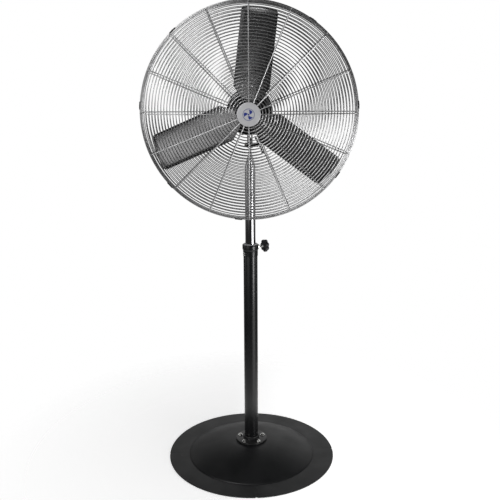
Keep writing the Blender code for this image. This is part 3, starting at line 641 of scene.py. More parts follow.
def swept(path, wire, sides=8, radius_at=None):
    """A round wire along a path, closed at both ends."""
    shell = Shell()
    points = [Vector(p) for p in path]
    side = (points[1] - points[0]).normalized().orthogonal().normalized()
    loops = []
    for index, point in enumerate(points):
        before = points[max(index - 1, 0)]
        after = points[min(index + 1, len(points) - 1)]
        along = (after - before).normalized()
        side = (side - along * side.dot(along)).normalized()
        other = along.cross(side)
        r = radius_at(index / (len(points) - 1)) if radius_at else wire
        loops.append(shell.loop(point + (side * x + other * y) * r for x, y in circle(sides, 1.0)))
    return shell.bridge(loops)


def stacked(outline, levels):
    """Loops of an outline at (inset, height) levels, closed at both ends."""
    shell = Shell()
    loops = []
    for inset, height in levels:
        row = []
        for x, y in outline:
            share = 1.0 - inset / math.hypot(x, y)
            row.append((x * share, y * share, height))
        loops.append(shell.loop(row))
    return shell.bridge(loops)


def hexagon(radius, bottom, top, chamfer=0.0006):
    """A hexagon head or nut with chamfered corners, as loops of 36 points."""
    outline = []
    flat = radius * math.cos(math.pi / 6)
    for k in range(36):
        angle = 2 * math.pi * k / 36
        local = (angle + math.pi / 6) % (math.pi / 3) - math.pi / 6
        reach = flat / math.cos(local)
        outline.append((reach * math.cos(angle), reach * math.sin(angle)))
    shell = Shell()
    loops = []
    for height, limit in ((bottom, flat + chamfer * 0.2), (bottom + chamfer * 0.6, radius),
                          (top - chamfer, radius), (top, flat - chamfer * 0.4)):
        row = []
        for x, y in outline:
            share = min(1.0, limit / math.hypot(x, y))
            row.append((x * share, y * share, height))
        loops.append(shell.loop(row))
    return shell.bridge(loops)


def thread(radius, bottom, top, pitch=0.0015, depth=0.0007):
    """A threaded bar."""
    count = max(4, int((top - bottom) / pitch * 4))
    profile = [(0.0, bottom), (radius - depth, bottom)]
    for k in range(1, count):
        profile.append((radius, bottom + (top - bottom) * k / count))
    profile += [(radius - depth, top), (0.0, top)]

    def wave(angle, r, height):
        if r < radius:
            return r
        phase = (height / pitch - angle / (2 * math.pi)) % 1.0
        return radius - depth * abs(2.0 * phase - 1.0)

    return lathe(profile, SMALL, False, wave)


def apart(first, second):
    """The angle between two directions, without its sign."""
    return abs((first - second + math.pi) % (2 * math.pi) - math.pi)


def powered(value, power):
    """A power that keeps the value's sign."""
    return math.copysign(abs(value) ** power, value)


# ------------------------------------------------------------------------------ base
def dome_height(radius):
    reach = max(0.0, (radius - SEAT_RADIUS) / (DOME_RADIUS - SEAT_RADIUS))
    edge = RIM_THICKNESS + DOME_STEP
    return edge + (SEAT_HEIGHT - edge) * (1.0 - reach ** DOME_CURVE)


def build_base():
    """The round base: a flat rim, a small step, the dome and the hollow below it."""
    radii = [SEAT_RADIUS + (DOME_RADIUS - 0.004 - SEAT_RADIUS) * k / 30 for k in range(31)]
    top = [(0.0, SEAT_HEIGHT), (0.030, SEAT_HEIGHT), (SEAT_RADIUS - 0.004, SEAT_HEIGHT)]
    top += [(r, dome_height(r)) for r in radii]
    step = [(DOME_RADIUS, dome_height(DOME_RADIUS), 0.0030),
            (DOME_RADIUS + 0.0035, RIM_THICKNESS, 0.0030),
            (BASE_RADIUS, RIM_THICKNESS, 0.0022), (BASE_RADIUS, 0.0, 0.0012),
            (DOME_RADIUS + 0.006, 0.0, 0.0010)]
    under = [(r, max(dome_height(r) - DOME_WALL, 0.0012)) for r in reversed(radii[::2])]
    profile = top + rounded([top[-1]] + step + [under[0]], False)[1:-1] + under
    profile.append((0.0, SEAT_HEIGHT - DOME_WALL))

    # the steps are closer together at the four notches in the rim
    angles = [2 * math.pi * k / FINE for k in range(FINE)]
    notches = [math.radians(NOTCH_ANGLE + 90.0 * k) for k in range(4)]
    reach = NOTCH_RADIUS / BASE_RADIUS
    for centre in notches:
        angles = [angle for angle in angles if apart(angle, centre) > reach * 1.3]
        angles += [(centre + reach * 1.15 * (k - 6) / 6) % (2 * math.pi) for k in range(13)]
    angles.sort()
    notch_centre = BASE_RADIUS + 0.001

    def notched(angle, radius, height):
        if radius < DOME_RADIUS + 0.02:
            return radius
        for centre in notches:
            off = apart(angle, centre)
            across = notch_centre * math.sin(off)
            if off < reach * 1.2 and across < NOTCH_RADIUS:
                cut = notch_centre * math.cos(off) - math.sqrt(NOTCH_RADIUS ** 2 - across ** 2)
                return min(radius, cut + (radius - BASE_RADIUS))
        return radius

    shell = lathe(profile, closed=False, radius_at=notched, angles=angles)
    shell.fit("base_casting", BASE, "root", "base_coat", "base_plate", sharp=40.0)


def build_flange():
    bottom = low("base_flange").z
    top = high("base_flange").z
    shoulder = bottom + FLANGE_SHEET
    bore = TUBE_RADIUS + GAP
    neck = bore + FLANGE_NECK
    shell = turned([(bore, top - 0.0002, 0.0008), (neck, top, 0.0016), (neck, shoulder, 0.0030),
                    (FLANGE_RADIUS, shoulder, 0.0018), (FLANGE_RADIUS, bottom, 0.0004),
                    (bore, bottom)])
    shell.fit("flange_turned", BLACK, "root", "black_coat", "base_flange")


def build_bolts():
    """Hexagon flange bolts with washer faces."""
    seat = low("base_flange").z + FLANGE_SHEET + GAP
    washer = seat + 0.0013
    head_top = high("flange_bolt_1").z
    for index, (x, y) in enumerate(circle(BOLT_COUNT, BOLT_CIRCLE, BOLT_START), 1):
        node = f"flange_bolt_{index}"
        shell = turned([(0.0, seat), (0.0098, seat, 0.0003), (0.0098, washer, 0.0006),
                        (0.0, washer)], SMALL, False)
        shell.join(hexagon(0.0076, seat + 0.0009, head_top), about_z(17.0 * index))
        shell.join(thread(0.0040, low(node).z, seat + 0.0005))
        shell.fit(f"hex_bolt_{index}", ZINC, "root", "zinc", node,
                  matrix=Matrix.Translation((x, y, 0.0)))


# ------------------------------------------------------------------------------ mast
def build_outer_tube():
    bottom = low("outer_tube").z
    inner = TUBE_RADIUS - TUBE_WALL
    shell = turned([(TUBE_RADIUS, TUBE_TOP, 0.0006), (TUBE_RADIUS, 0.60), (TUBE_RADIUS, 0.30),
                    (TUBE_RADIUS, bottom, 0.0006), (inner, bottom, 0.0004),
                    (inner, TUBE_TOP, 0.0004)])
    shell.fit("mast_tube", TUBE_BLACK, "root", "black_coat", "outer_tube")


def build_collar():
    """The turned collar, with two short press marks in its skirt."""
    bore = TUBE_RADIUS + GAP
    ledge = TUBE_TOP + GAP
    profile = rounded([(COLLAR_BORE, COLLAR_TOP, 0.0008), (COLLAR_RADIUS, COLLAR_TOP, 0.0030),
                       (COLLAR_RADIUS, 0.9090, 0.0030), (0.0302, 0.9030, 0.0030),
                       *[(SKIRT_RADIUS, 0.8975 - 0.0005 * k) for k in range(31)],
                       (SKIRT_EDGE, COLLAR_BOTTOM, 0.0008), (bore, COLLAR_BOTTOM),
                       (bore, ledge), (COLLAR_BORE, ledge)])

    def pressed(angle, radius, height):
        turn = math.degrees(angle) - MARK_ANGLE
        if radius < SKIRT_EDGE or abs(turn) > MARK_SPREAD:
            return radius
        across = math.cos(math.pi / 2 * turn / MARK_SPREAD)
        deep = max(math.exp(-((height - z) / MARK_WIDTH) ** 2) for z in MARK_HEIGHTS)
        return radius - MARK_DEPTH * deep * across ** 0.3

    shell = lathe(profile, 144, True, pressed)
    shell.fit("collar_turned", COLLAR_BLACK, "root", "black_coat", "tube_collar")


def build_bush():
    bore = POLE_RADIUS + GAP
    bottom = low("collar_bush").z
    lip = COLLAR_TOP + GAP
    shell = turned([(bore, BUSH_TOP, 0.0006), (BUSH_LIP, BUSH_TOP, 0.0009), (BUSH_LIP, lip),
                    (BUSH_RADIUS, lip), (BUSH_RADIUS, bottom), (bore, bottom)])
    shell.fit("bush_moulded", NYLON, "root", "grey_plastic", "collar_bush")


def reach_along(node, direction):
    """Lowest and highest distance of a CAD node along a direction through the mast."""
    spots = [v.co.dot(direction) for v in frame["nodes"][node].data.vertices]
    return min(spots), max(spots)


def build_clamp():
    """The nut and the screw in the collar, and the star knob with its seven lobes."""
    near, far = reach_along("clamp_nut", CLAMP_DIRECTION)
    shell = hexagon(0.0088, near, far)
    shell.fit("clamp_hex_nut", ZINC, "root", "zinc", "clamp_nut", matrix=CLAMP)
    near, far = reach_along("clamp_screw", CLAMP_DIRECTION)
    shell = thread(0.0050, near, far)
    shell.fit("clamp_thread", ZINC, "clamp_screw", "zinc", "clamp_screw", matrix=CLAMP, sharp=50.0)

    back, front = reach_along("clamp_knob", CLAMP_DIRECTION)
    radius = max(v.co.z for v in frame["nodes"]["clamp_knob"].data.vertices) - CLAMP_HEIGHT
    outline = []
    for k in range(140):
        angle = 2 * math.pi * k / 140
        lobe = 0.5 + 0.5 * math.cos(7 * angle)
        reach = radius * (0.815 + 0.185 * lobe ** 0.6)
        outline.append((reach * math.cos(angle), reach * math.sin(angle)))
    levels = [(0.0200, back + 0.0010), (0.0120, back + 0.0010), (0.0100, back + 0.0020),
              (0.0042, back + 0.0020), (0.0020, back + 0.0006), (0.0008, back + 0.0020),
              (0.0, back + 0.0046), (0.0, front - 0.0046), (0.0008, front - 0.0022),
              (0.0026, front - 0.0007), (0.0050, front), (0.0085, front),
              (0.0100, front - 0.0016), (0.0190, front - 0.0022), (0.0210, front - 0.0008)]
    shell = stacked(outline, levels)
    shell.fit("star_knob", KNOB_PLASTIC, "clamp_knob", "black_plastic", "clamp_knob",
              matrix=CLAMP, sharp=50.0)


def crimp_section(height):
    """Half-thickness, half-width and squareness of the pole's outside at a height."""
    if height <= CRIMP_BOTTOM:
        return POLE_RADIUS, POLE_RADIUS, 1.0
    reach = min((height - CRIMP_BOTTOM) / (CRIMP_TOP - CRIMP_BOTTOM), 1.0)
    ease = reach * reach * (3.0 - 2.0 * reach)
    half_x = POLE_RADIUS + (TAB_HALF_THICKNESS - POLE_RADIUS) * ease
    half_y = POLE_RADIUS + (TAB_HALF_WIDTH - POLE_RADIUS) * ease
    above = height - TILT_HEIGHT
    if above > 0.0:
        corner = TAB_TOP - TILT_HEIGHT + 0.0012
        half_y = min(half_y, math.sqrt(max(corner ** 2 - above ** 2, 0.0)))
    return half_x, half_y, 1.0 - 0.55 * ease


def build_inner_pole():
    """The chromed pole, pressed flat at its top for the tilt bolt."""
    heights = [POLE_BOTTOM, POLE_BOTTOM + 0.001, 0.7, 0.9, 1.1, CRIMP_BOTTOM - 0.005]
    heights += [CRIMP_BOTTOM + (CRIMP_TOP - CRIMP_BOTTOM) * k / 26 for k in range(27)]
    heights += [CRIMP_TOP + (TAB_TOP - CRIMP_TOP) * k / 14 for k in range(1, 15)]
    shell = Shell()
    loops = []
    for height in heights:
        half_x, half_y, square = crimp_section(height)
        loops.append(shell.loop((half_x * powered(x, square), half_y * y, height)
                                for x, y in circle(ROUND, 1.0)))
    shell.bridge(loops)
    shell.fit("pole_chromed", CHROME, "mast", "chrome", "inner_pole", sharp=50.0)


# ---------------------------------------------------------------------- tilt bracket
def build_yoke():
    """Two ears with round ends that carry a saddle curved to the motor."""
    far = EAR_START + EAR_SHEET
    rise = SADDLE_HEIGHT - TILT_HEIGHT
    outline = [(EAR_RADIUS * math.cos(a), EAR_RADIUS * math.sin(a))
               for a in (math.pi + math.pi * k / 24 for k in range(25))]
    outline += [(EAR_RADIUS, rise + 0.003), (-EAR_RADIUS, rise + 0.003)]
    levels = [(0.0008, EAR_START), (0.0, EAR_START + 0.0008), (0.0, far - 0.0008), (0.0008, far)]
    shell = Shell()
    for side in (-1.0, 1.0):
        turn = Matrix(((0.0, 0.0, side, 0.0), (1.0, 0.0, 0.0, 0.0), (0.0, 1.0, 0.0, 0.0),
                       (0.0, 0.0, 0.0, 1.0)))
        shell.join(stacked(outline, levels), turn)
    half_x = high("tilt_yoke").x
    half_y = high("tilt_yoke").y
    centre = HEAD_HEIGHT - TILT_HEIGHT
    seat = MOTOR_RADIUS + GAP
    loops = []
    for y, inset in ((-half_y, 0.0012), (-half_y + 0.0012, 0.0), (half_y - 0.0012, 0.0),
                     (half_y, 0.0012)):
        edge = half_x - inset
        row = []
        for k in range(25):
            x = -edge + 2 * edge * k / 24
            row.append((x, y, rise + inset + 0.004 * (abs(x) / half_x) ** 4))
        for k in range(25):
            x = edge - 2 * edge * k / 24
            row.append((x, y, centre - math.sqrt(seat ** 2 - x ** 2) - inset))
        loops.append(shell.loop(row))
    shell.bridge(loops)
    shell.fit("yoke_pressed", BLACK, "head", "black_coat", "tilt_yoke", matrix=TILT, sharp=40.0)


def build_yoke_fasteners():
    """Two socket screws up into the motor, and the tilt bolt with its nut."""
    for side in ("left", "right"):
        node = f"yoke_screw_{side}"
        bottom = low(node).z
        seat = bottom + 0.0036
        shell = turned([(0.0, bottom + 0.0014), (0.0022, bottom + 0.0014, 0.0002),
                        (0.0026, bottom, 0.0002), (0.0042, bottom, 0.0012),
                        (0.0052, seat, 0.0004), (0.0, seat)], SMALL, False)
        shell.join(thread(0.0025, seat - 0.001, high(node).z, 0.0008, 0.0003))
        shell.fit(f"saddle_screw_{side}", ZINC, "head", "zinc", node,
                  matrix=Matrix.Translation((middle(node).x, 0.0, 0.0)))
    turn = TILT @ SIDEWAYS
    shell = thread(0.0050, low("tilt_bolt").x, high("tilt_bolt").x)
    shell.fit("tilt_thread", ZINC, "head", "zinc", "tilt_bolt", matrix=turn, sharp=50.0)
    shell = hexagon(0.0092, low("tilt_nut").x, high("tilt_nut").x, 0.0008)
    shell.fit("tilt_hex_nut", ZINC, "head", "zinc", "tilt_nut", matrix=turn)


def build_lever():
    """A bent rod in a turned hub, with a ball grip."""
    start = low("tilt_lever").x
    hub = turned([(0.0, start), (0.0085, start, 0.0006), (0.0085, LEVER_END, 0.0016),
                  (0.0058, LEVER_END, 0.0004), (0.0052, LEVER_END - 0.0012),
                  (0.0, LEVER_END - 0.0012)], 40, False)
    shell = Shell().join(hub, SIDEWAYS)
    inner_end = Vector((0.0190, 0.0, 0.0340))
    outer_end = Vector((0.0475, 0.0, -0.0225))
    path = [inner_end + (outer_end - inner_end) * (k / 24) for k in range(25)]

    def taper(share):
        return LEVER_ROD * min(1.0, 0.55 + 6.0 * min(share, 1.0 - share))

    shell.join(swept(path, LEVER_ROD, 16, taper))
    shell.fit("lever_forged", BLACK, "tilt_lever", "black_coat", "tilt_lever", matrix=TILT)

    profile = [(0.0, 0.0064)]
    for k in range(1, 20):
        angle = math.pi * k / 20
        stretch = 1.0 + 0.10 * math.sin(angle) ** 2
        profile.append((0.0065 * math.sin(angle) * stretch * 0.92, 0.0064 * math.cos(angle)))
    profile.append((0.0, -0.0064))
    direction = (inner_end - outer_end).normalized()
    lathe(profile, 32, False).fit("lever_ball", KNOB_PLASTIC, "tilt_lever", "black_plastic",
                                  "lever_grip", matrix=facing(direction, middle("lever_grip")),
                                  sharp=60.0)


# ----------------------------------------------------------------------------- motor
def cover_shell(skipped):
    """An end cover: a turned bowl with raised ribs, some of them left out."""
    inner = MOTOR_RADIUS - MOTOR_WALL
    face = COVER_FACE
    opening = 0.0085
    shell = turned([(opening, face, 0.0005), (0.026, face, 0.0010), (0.029, face - 0.0028, 0.001),
                    (MOTOR_RADIUS - 0.012, face - 0.0030, 0.0030),
                    (MOTOR_RADIUS - 0.004, face - 0.0070, 0.0040),
                    (MOTOR_RADIUS, face - 0.0135, 0.0040),
                    (MOTOR_RADIUS, MOTOR_HALF_LENGTH + GAP, 0.0006),
                    (inner, MOTOR_HALF_LENGTH + GAP), (inner, face - 0.012, 0.004),
                    (0.030, face - 0.008), (opening, face - 0.006)])
    path = [(0.030, 0.0, face - 0.0030), (0.036, 0.0, face - 0.0018),
            (0.058, 0.0, face - 0.0018), (MOTOR_RADIUS - 0.013, 0.0, face - 0.0026),
            (MOTOR_RADIUS - 0.0085, 0.0, face - 0.0052)]
    for k in range(24):
        if k % 6 not in skipped:
            turn = Matrix.Rotation(2 * math.pi * (k + 0.5) / 24, 4, "Z")
            shell.join(swept(path, 0.0015, 6), turn)
    return shell


def build_barrel():
    """The motor's shell, with shallow cooling grooves except over the yoke's saddle."""
    half = MOTOR_HALF_LENGTH
    inner = MOTOR_RADIUS - MOTOR_WALL
    edge = MOTOR_RADIUS - 0.0005

    def grooved(angle, radius, height):
        if radius < edge or abs(height) > half - 0.006 or apart(angle, -math.pi / 2) < 0.62:
            return radius
        wave = math.cos(36 * angle)
        return radius - 0.0011 * (0.5 - 0.5 * math.tanh(3.0 * wave + 1.2))

    levels = (half - 0.0006, half - 0.0055, half - 0.0065, 0.0, -half + 0.0065, -half + 0.0055,
              -half + 0.0006)
    profile = [(edge, half), *[(MOTOR_RADIUS, z) for z in levels], (edge, -half),
               (inner, -half), (inner, half)]
    shell = lathe(profile, 288, True, grooved)
    shell.fit("motor_barrel", MOTOR_BLACK, "head", "motor_coat", "motor_shell", matrix=HEAD)


def build_motor():
    """The barrel, two ribbed covers with through bolts, and the shaft."""
    build_barrel()
    for end, turn, skipped in (("front", 0.0, ()), ("rear", math.pi, (2, 3))):
        matrix = HEAD @ Matrix.Rotation(turn, 4, "X")
        cover_shell(skipped).fit(f"motor_cover_{end}", MOTOR_BLACK, "head", "motor_coat",
                                 f"motor_{end}_cover", matrix=matrix)
        bolts = Shell()
        for x, y in circle(4, 0.0675, 45.0):
            bolts.join(hexagon(0.0044, COVER_FACE - 0.0034, COVER_FACE - 0.0004, 0.0004),
                       Matrix.Translation((x, y, 0.0)))
        bolts.fit(f"motor_cover_{end}_bolts", ZINC, "head", "zinc", matrix=matrix)

    start = -COVER_FACE + 0.002
    end = -low("motor_shaft").y
    shell = turned([(0.0, end), (0.0065, end, 0.0012), (0.0065, start, 0.0006), (0.0, start)],
                   48, False)
    shell.fit("shaft_ground", STEEL, "rotor", "bearing_steel", "motor_shaft", matrix=HEAD)


# ---------------------------------------------------------------------------- switch
def build_switch_box():
    """The switch box on the rear cover: a lid with four screws and the dots of its dial."""
    lo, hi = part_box("switch_box")
    width, back, height = hi - lo
    half_x = width / 2
    half_y = height / 2
    corner = 0.006
    levels = [(0.0006, 0.0), (0.0, 0.0006), (0.0, back - 0.0100), (0.0010, back - 0.0094),
              (0.0010, back - 0.0086), (0.0, back - 0.0080), (0.0, back - 0.0020),
              (0.0006, back - 0.0008), (0.0020, back)]
    shell = Shell()
    loops = []
    for inset, z in levels:
        row = []
        for sx, sy, start in ((1, 1, 0.0), (-1, 1, 0.5), (-1, -1, 1.0), (1, -1, 1.5)):
            for k in range(7):
                a = math.pi * (start + 0.5 * k / 6)
                row.append((sx * (half_x - corner) + (corner - inset) * math.cos(a),
                            sy * (half_y - corner) + (corner - inset) * math.sin(a), z))
        loops.append(shell.loop(row))
    shell.bridge(loops)
    place = facing((0.0, 1.0, 0.0), (0.0, lo.y, middle("switch_box").z))
    shell.fit("switch_housing", BLACK, "head", "black_coat", "switch_box", matrix=place,
              sharp=30.0)

    screw = turned([(0.0, back + 0.0002), (0.0020, back + 0.0010, 0.0008),
                    (0.0028, back - 0.0004), (0.0, back - 0.0004)], 20, False)
    screws = Shell()
    for sx in (-1, 1):
        for sy in (-1, 1):
            spot = (sx * (half_x - 0.007), sy * (half_y - 0.007), 0.0)
            screws.join(screw, Matrix.Translation(spot))
    screws.fit("switch_lid_screws", ZINC, "head", "zinc", matrix=place)

    dot = lathe([(0.0, back + 0.0003), (0.0006, back + 0.0002), (0.0006, back - 0.0002),
                 (0.0, back - 0.0002)], 12, False)
    dots = Shell()
    for k, angle in enumerate((225, 135, 45, -45)):
        a = math.radians(angle)
        for j in range(k + 1):
            off = (j - k / 2) * 0.0016
            spot = (0.0212 * math.cos(a) - off * math.sin(a),
                    0.0212 * math.sin(a) + off * math.cos(a), 0.0)
            dots.join(dot, Matrix.Translation(spot))
    dots.fit("switch_speed_dots", NYLON, "head", "grey_plastic", matrix=place)


def build_switch_knob():
    """A round dial with a raised grip and its stem."""
    knob = stacked(circle(72, 0.016), [(0.0, 0.0003), (0.0, 0.0060), (0.0010, 0.0092),
                                       (0.0024, 0.0100), (0.0100, 0.0100)])
    grip = [(powered(x, 0.5) * 0.0030, powered(y, 0.6) * 0.0143) for x, y in circle(32, 1.0)]
    knob.join(stacked(grip, [(0.0, 0.0090), (0.0, 0.0155), (0.0006, 0.0172),
                             (0.0014, 0.0180)]))
    knob.join(lathe([(0.0, -0.008), (0.0033, -0.008), (0.0033, 0.002), (0.0, 0.002)], 20, False))
    place = facing((0.0, 1.0, 0.0), (0.0, high("switch_knob").y - 0.018, HEAD_HEIGHT))
    knob.fit("switch_dial", KNOB_PLASTIC, "switch_knob", "black_plastic", "switch_knob",
             matrix=place, sharp=50.0)


def build_gland():
    """The cable gland under the switch box: a short neck, a hexagon and a tapered cap."""
    lo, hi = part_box("cable_gland")
    centre = middle("cable_gland")
    reach = hi.z - lo.z
    shell = hexagon(0.0095, 0.006, 0.0125)
    shell.join(turned([(0.0045, reach, 0.0005), (0.0068, reach, 0.0008), (0.0085, 0.0165, 0.001),
                       (0.0088, 0.0120), (0.0060, 0.0062), (0.0060, 0.0), (0.0045, 0.0)], 40))
    place = facing((0.0, 0.0, -1.0), (centre.x, centre.y, hi.z))
    shell.fit("gland_moulded", KNOB_PLASTIC, "head", "black_plastic", "cable_gland", matrix=place)


# ---------------------------------------------------------------------------- guards
def front_face(radius):
    """Forward distance of the front guard's rings, a shallow dish."""
    return GUARD_FRONT - 0.0052 - 0.0295 * (radius / CORNER_RADIUS) ** 2


def rear_face(radius):
    """Forward distance of the rear guard's rings."""
    return GUARD_BACK + 0.0052 + 0.0085 * (radius / CORNER_RADIUS) ** 3


def guard_wires(face, side, inner, rim_height, side_heights):
    """Rings on a dished face, rings on the side, a thick rim ring and radial wires.

    side is +1 where the radial wires lie in front of the rings, -1 where behind.
    """
    shell = Shell()
    count = int(round((CORNER_RADIUS - inner) / RING_PITCH))
    for k in range(count + 1):
        radius = inner + (CORNER_RADIUS - inner) * k / count
        shell.join(torus(radius, face(radius), RING_WIRE))
    for radius, height in zip(SIDE_RING_RADII, side_heights):
        shell.join(torus(radius, height, RING_WIRE))
    rim = RIM_RADIUS - RIM_WIRE
    shell.join(torus(rim, rim_height, RIM_WIRE, 160, 10))

    lift = side * (RING_WIRE + RADIAL_WIRE - 0.0004)
    start = inner - 0.006
    bend = CORNER_RADIUS - 0.003
    radii = [start + (bend - start) * k / 16 for k in range(17)]
    path = [(r, face(r) + lift) for r in radii]
    last = path[-1][1]
    path += [(CORNER_RADIUS + 0.0025, last - side * 0.0008),
             (CORNER_RADIUS + 0.0058, last - side * 0.0040),
             (CORNER_RADIUS + 0.0075, last - side * 0.0090),
             (rim - 0.001, rim_height + side * 0.004), (rim - 0.0004, rim_height)]
    for x, y in circle(GUARD_RADIALS, 1.0):
        shell.join(swept([(r * x, r * y, z) for r, z in path], RADIAL_WIRE))
    return shell


def build_guards():
    rim_front = -high("front_guard").y + RIM_WIRE
    rim_rear = -low("rear_guard").y - RIM_WIRE
    front = guard_wires(front_face, 1, BADGE_RADIUS - 0.004, rim_front, (0.1800, 0.1665))
    front.fit("front_guard_wires", WIRE, "head", "chrome", "front_guard", matrix=HEAD, sharp=60.0)
    rear = guard_wires(rear_face, -1, REAR_INNER_RADIUS, rim_rear, (0.1185, 0.1325))
    rear.fit("rear_guard_wires", WIRE, "head", "chrome", "rear_guard", matrix=HEAD, sharp=60.0)


def build_guard_plate():
    """The pressed plate in the middle of the rear guard, with its four screws."""
    shell = turned([(0.020, PLATE_FRONT, 0.0006), (PLATE_RADIUS - 0.0035, PLATE_FRONT, 0.0010),
                    (PLATE_RADIUS, PLATE_FRONT - 0.0004, 0.0012),
                    (PLATE_RADIUS, PLATE_BACK, 0.0004), (0.020, PLATE_BACK, 0.0004)])
    shell.fit("guard_plate_pressed", BLACK, "head", "black_coat", "guard_plate", matrix=HEAD)
    screw = turned([(0.0, PLATE_FRONT + 0.0016), (0.0032, PLATE_FRONT + 0.0014, 0.0008),
                    (0.0044, PLATE_FRONT - 0.0002), (0.0, PLATE_FRONT - 0.0002)], 20, False)
    screws = Shell()
    for x, y in circle(4, 0.0605, 20.0):
        screws.join(screw, Matrix.Translation((x, y, 0.0)))
    screws.fit("guard_plate_screws", ZINC, "head", "zinc", matrix=HEAD)


def build_clips():
    """Bent sheet clips over both rim rings, with rolled lips and a low bolt each."""
    inside = RIM_RADIUS + GAP
    plane = -(low("rear_guard").y + high("front_guard").y) / 2
    half = CLIP_HALF_WIDTH
    line = [(inside - 0.0022, -half - 0.0004), (inside - 0.0008, -half - 0.0002),
            (inside + 0.0001, -half + 0.0014), (inside + 0.0003, -half + 0.0040),
            (inside + 0.0003, 0.0), (inside + 0.0003, half - 0.0040),
            (inside + 0.0001, half - 0.0014), (inside - 0.0008, half + 0.0002),
            (inside - 0.0022, half + 0.0004)]
    rows = []
    for k in range(9):
        t = -CLIP_LENGTH / 2 + CLIP_LENGTH * k / 8
        trim = 0.86 if k in (0, 8) else 1.0
        rows.append([(r - t * t / (2 * r), t, plane + z * trim) for r, z in line])
    clip = Shell().sheet(rows)
    bolt = hexagon(0.0046, 0.0006, 0.0019)
    seat = facing((1.0, 0.0, 0.0), (inside, 0.0, plane))
    for index, angle in enumerate(CLIP_ANGLES, 1):
        turn = HEAD @ about_z(angle)
        clip.fit(f"rim_clip_{index}", BLACK, "head", "black_coat", f"guard_clip_{index}",
                 matrix=turn, sharp=60.0, thickness=CLIP_SHEET)
        bolt.fit(f"clip_bolt_{index}", ZINC, "head", "zinc", matrix=turn @ seat)


def build_badge():
    """A slightly domed disc with a rolled edge."""
    edge = BADGE_RADIUS * 0.955
    profile = [(0.0, BADGE_FRONT)]
    for k in range(1, 24):
        share = k / 24
        profile.append((BADGE_RADIUS * share * 0.955,
                        BADGE_FRONT - (BADGE_FRONT - BADGE_BACK - 0.0028) * share ** 2.2))
    profile += rounded([(edge, BADGE_BACK + 0.0029),
                        (BADGE_RADIUS - 0.0012, BADGE_BACK + 0.0024, 0.0006),
                        (BADGE_RADIUS, BADGE_BACK + 0.0014, 0.0008),
                        (BADGE_RADIUS, BADGE_BACK, 0.0003), (0.0, BADGE_BACK)], False)
    lathe(profile, ROUND, False).fit("badge_disc", SILVER, "head", "badge_silver", "badge",
                                     matrix=HEAD)


# ---------------------------------------------------------------------------- blades
def blade_surface(lateral, radial, lift=0.0):
    """A point of the pressed blade that points along +y; +x is its leading side."""
    share = max(-1.0, min(1.0, lateral / BLADE_HALF_WIDTH))
    forward = BLADE_PLANE - lateral * math.tan(BLADE_PITCH)
    forward -= BLADE_CAMBER * (1.0 - share * share)
    return Vector((lateral, radial, forward + lift))


def surface_normal(lateral, radial):
    step = 0.001
    across = blade_surface(lateral + step, radial) - blade_surface(lateral, radial)
    return across.cross(Vector((0.0, step, 0.0))).normalized()


def crease(lateral, radial):
    """Stiffening folds along the trailing edge, the tip and, narrower, the leading edge."""
    fade = max(0.0, min(1.0, (radial - 0.100) / 0.05))
    trailing = max(0.0, -lateral - (BLADE_HALF_WIDTH - 0.010))
    leading = max(0.0, lateral - (BLADE_HALF_WIDTH - 0.006))
    tip = max(0.0, math.hypot(lateral, radial) - (BLADE_TIP - 0.017))
    return fade * (0.26 * trailing + 0.20 * leading + 0.22 * tip)


def blade_outline(u, v):
    """A point of the blade's outline grid.

    u runs from -1 to 1 across; v is -1 at the root, 0 at the shoulder and 1 at the tip.
    """
    half = BLADE_HALF_WIDTH
    if v < 0.0:
        radial = BLADE_SHOULDER + v * (BLADE_SHOULDER - BLADE_ROOT)
        return u * (half + v * (half - BLADE_ROOT_HALF_WIDTH)), radial
    tip = math.sqrt(BLADE_TIP ** 2 - (u * half) ** 2)
    over = abs(u) * half - (half - BLADE_CORNER)
    if over > 0.0:
        tip -= BLADE_CORNER - math.sqrt(max(BLADE_CORNER ** 2 - over ** 2, 0.0))
    return u * half, BLADE_SHOULDER + v * (tip - BLADE_SHOULDER)


def arm_outline(u, v):
    """A point of a spider arm, which widens outwards; v runs from 0 to 1."""
    half = 0.016 + (0.045 - 0.016) * v ** 1.3
    return u * half, 0.016 + v * (0.108 - 0.016)


def sheet_grid(columns, rows, outline, fold=None, lift=0.0):
    """A pressed sheet that follows the blade's surface inside an outline."""
    grid = []
    for v in rows:
        row = []
        for u in columns:
            lateral, radial = outline(u, v)
            point = blade_surface(lateral, radial, lift)
            if fold:
                point.z += fold(lateral, radial)
            row.append(point)
        grid.append(row)
    return Shell().sheet(grid)


def rivet_shell():
    """A domed rivet through blade and arm, set at the back."""
    front = BLADE_SHEET / 2 + 0.0005
    back = -BLADE_SHEET / 2 - 0.0037
    profile = [(0.0, front + 0.0027)]
    for k in range(1, 7):
        a = math.pi / 2 * k / 6
        profile.append((0.0047 * math.sin(a), front + 0.0027 * math.cos(a)))
    profile += [(0.0022, front), (0.0022, back), (0.0038, back), (0.0028, back - 0.0013),
                (0.0, back - 0.0014)]
    return lathe(profile, 20, False)


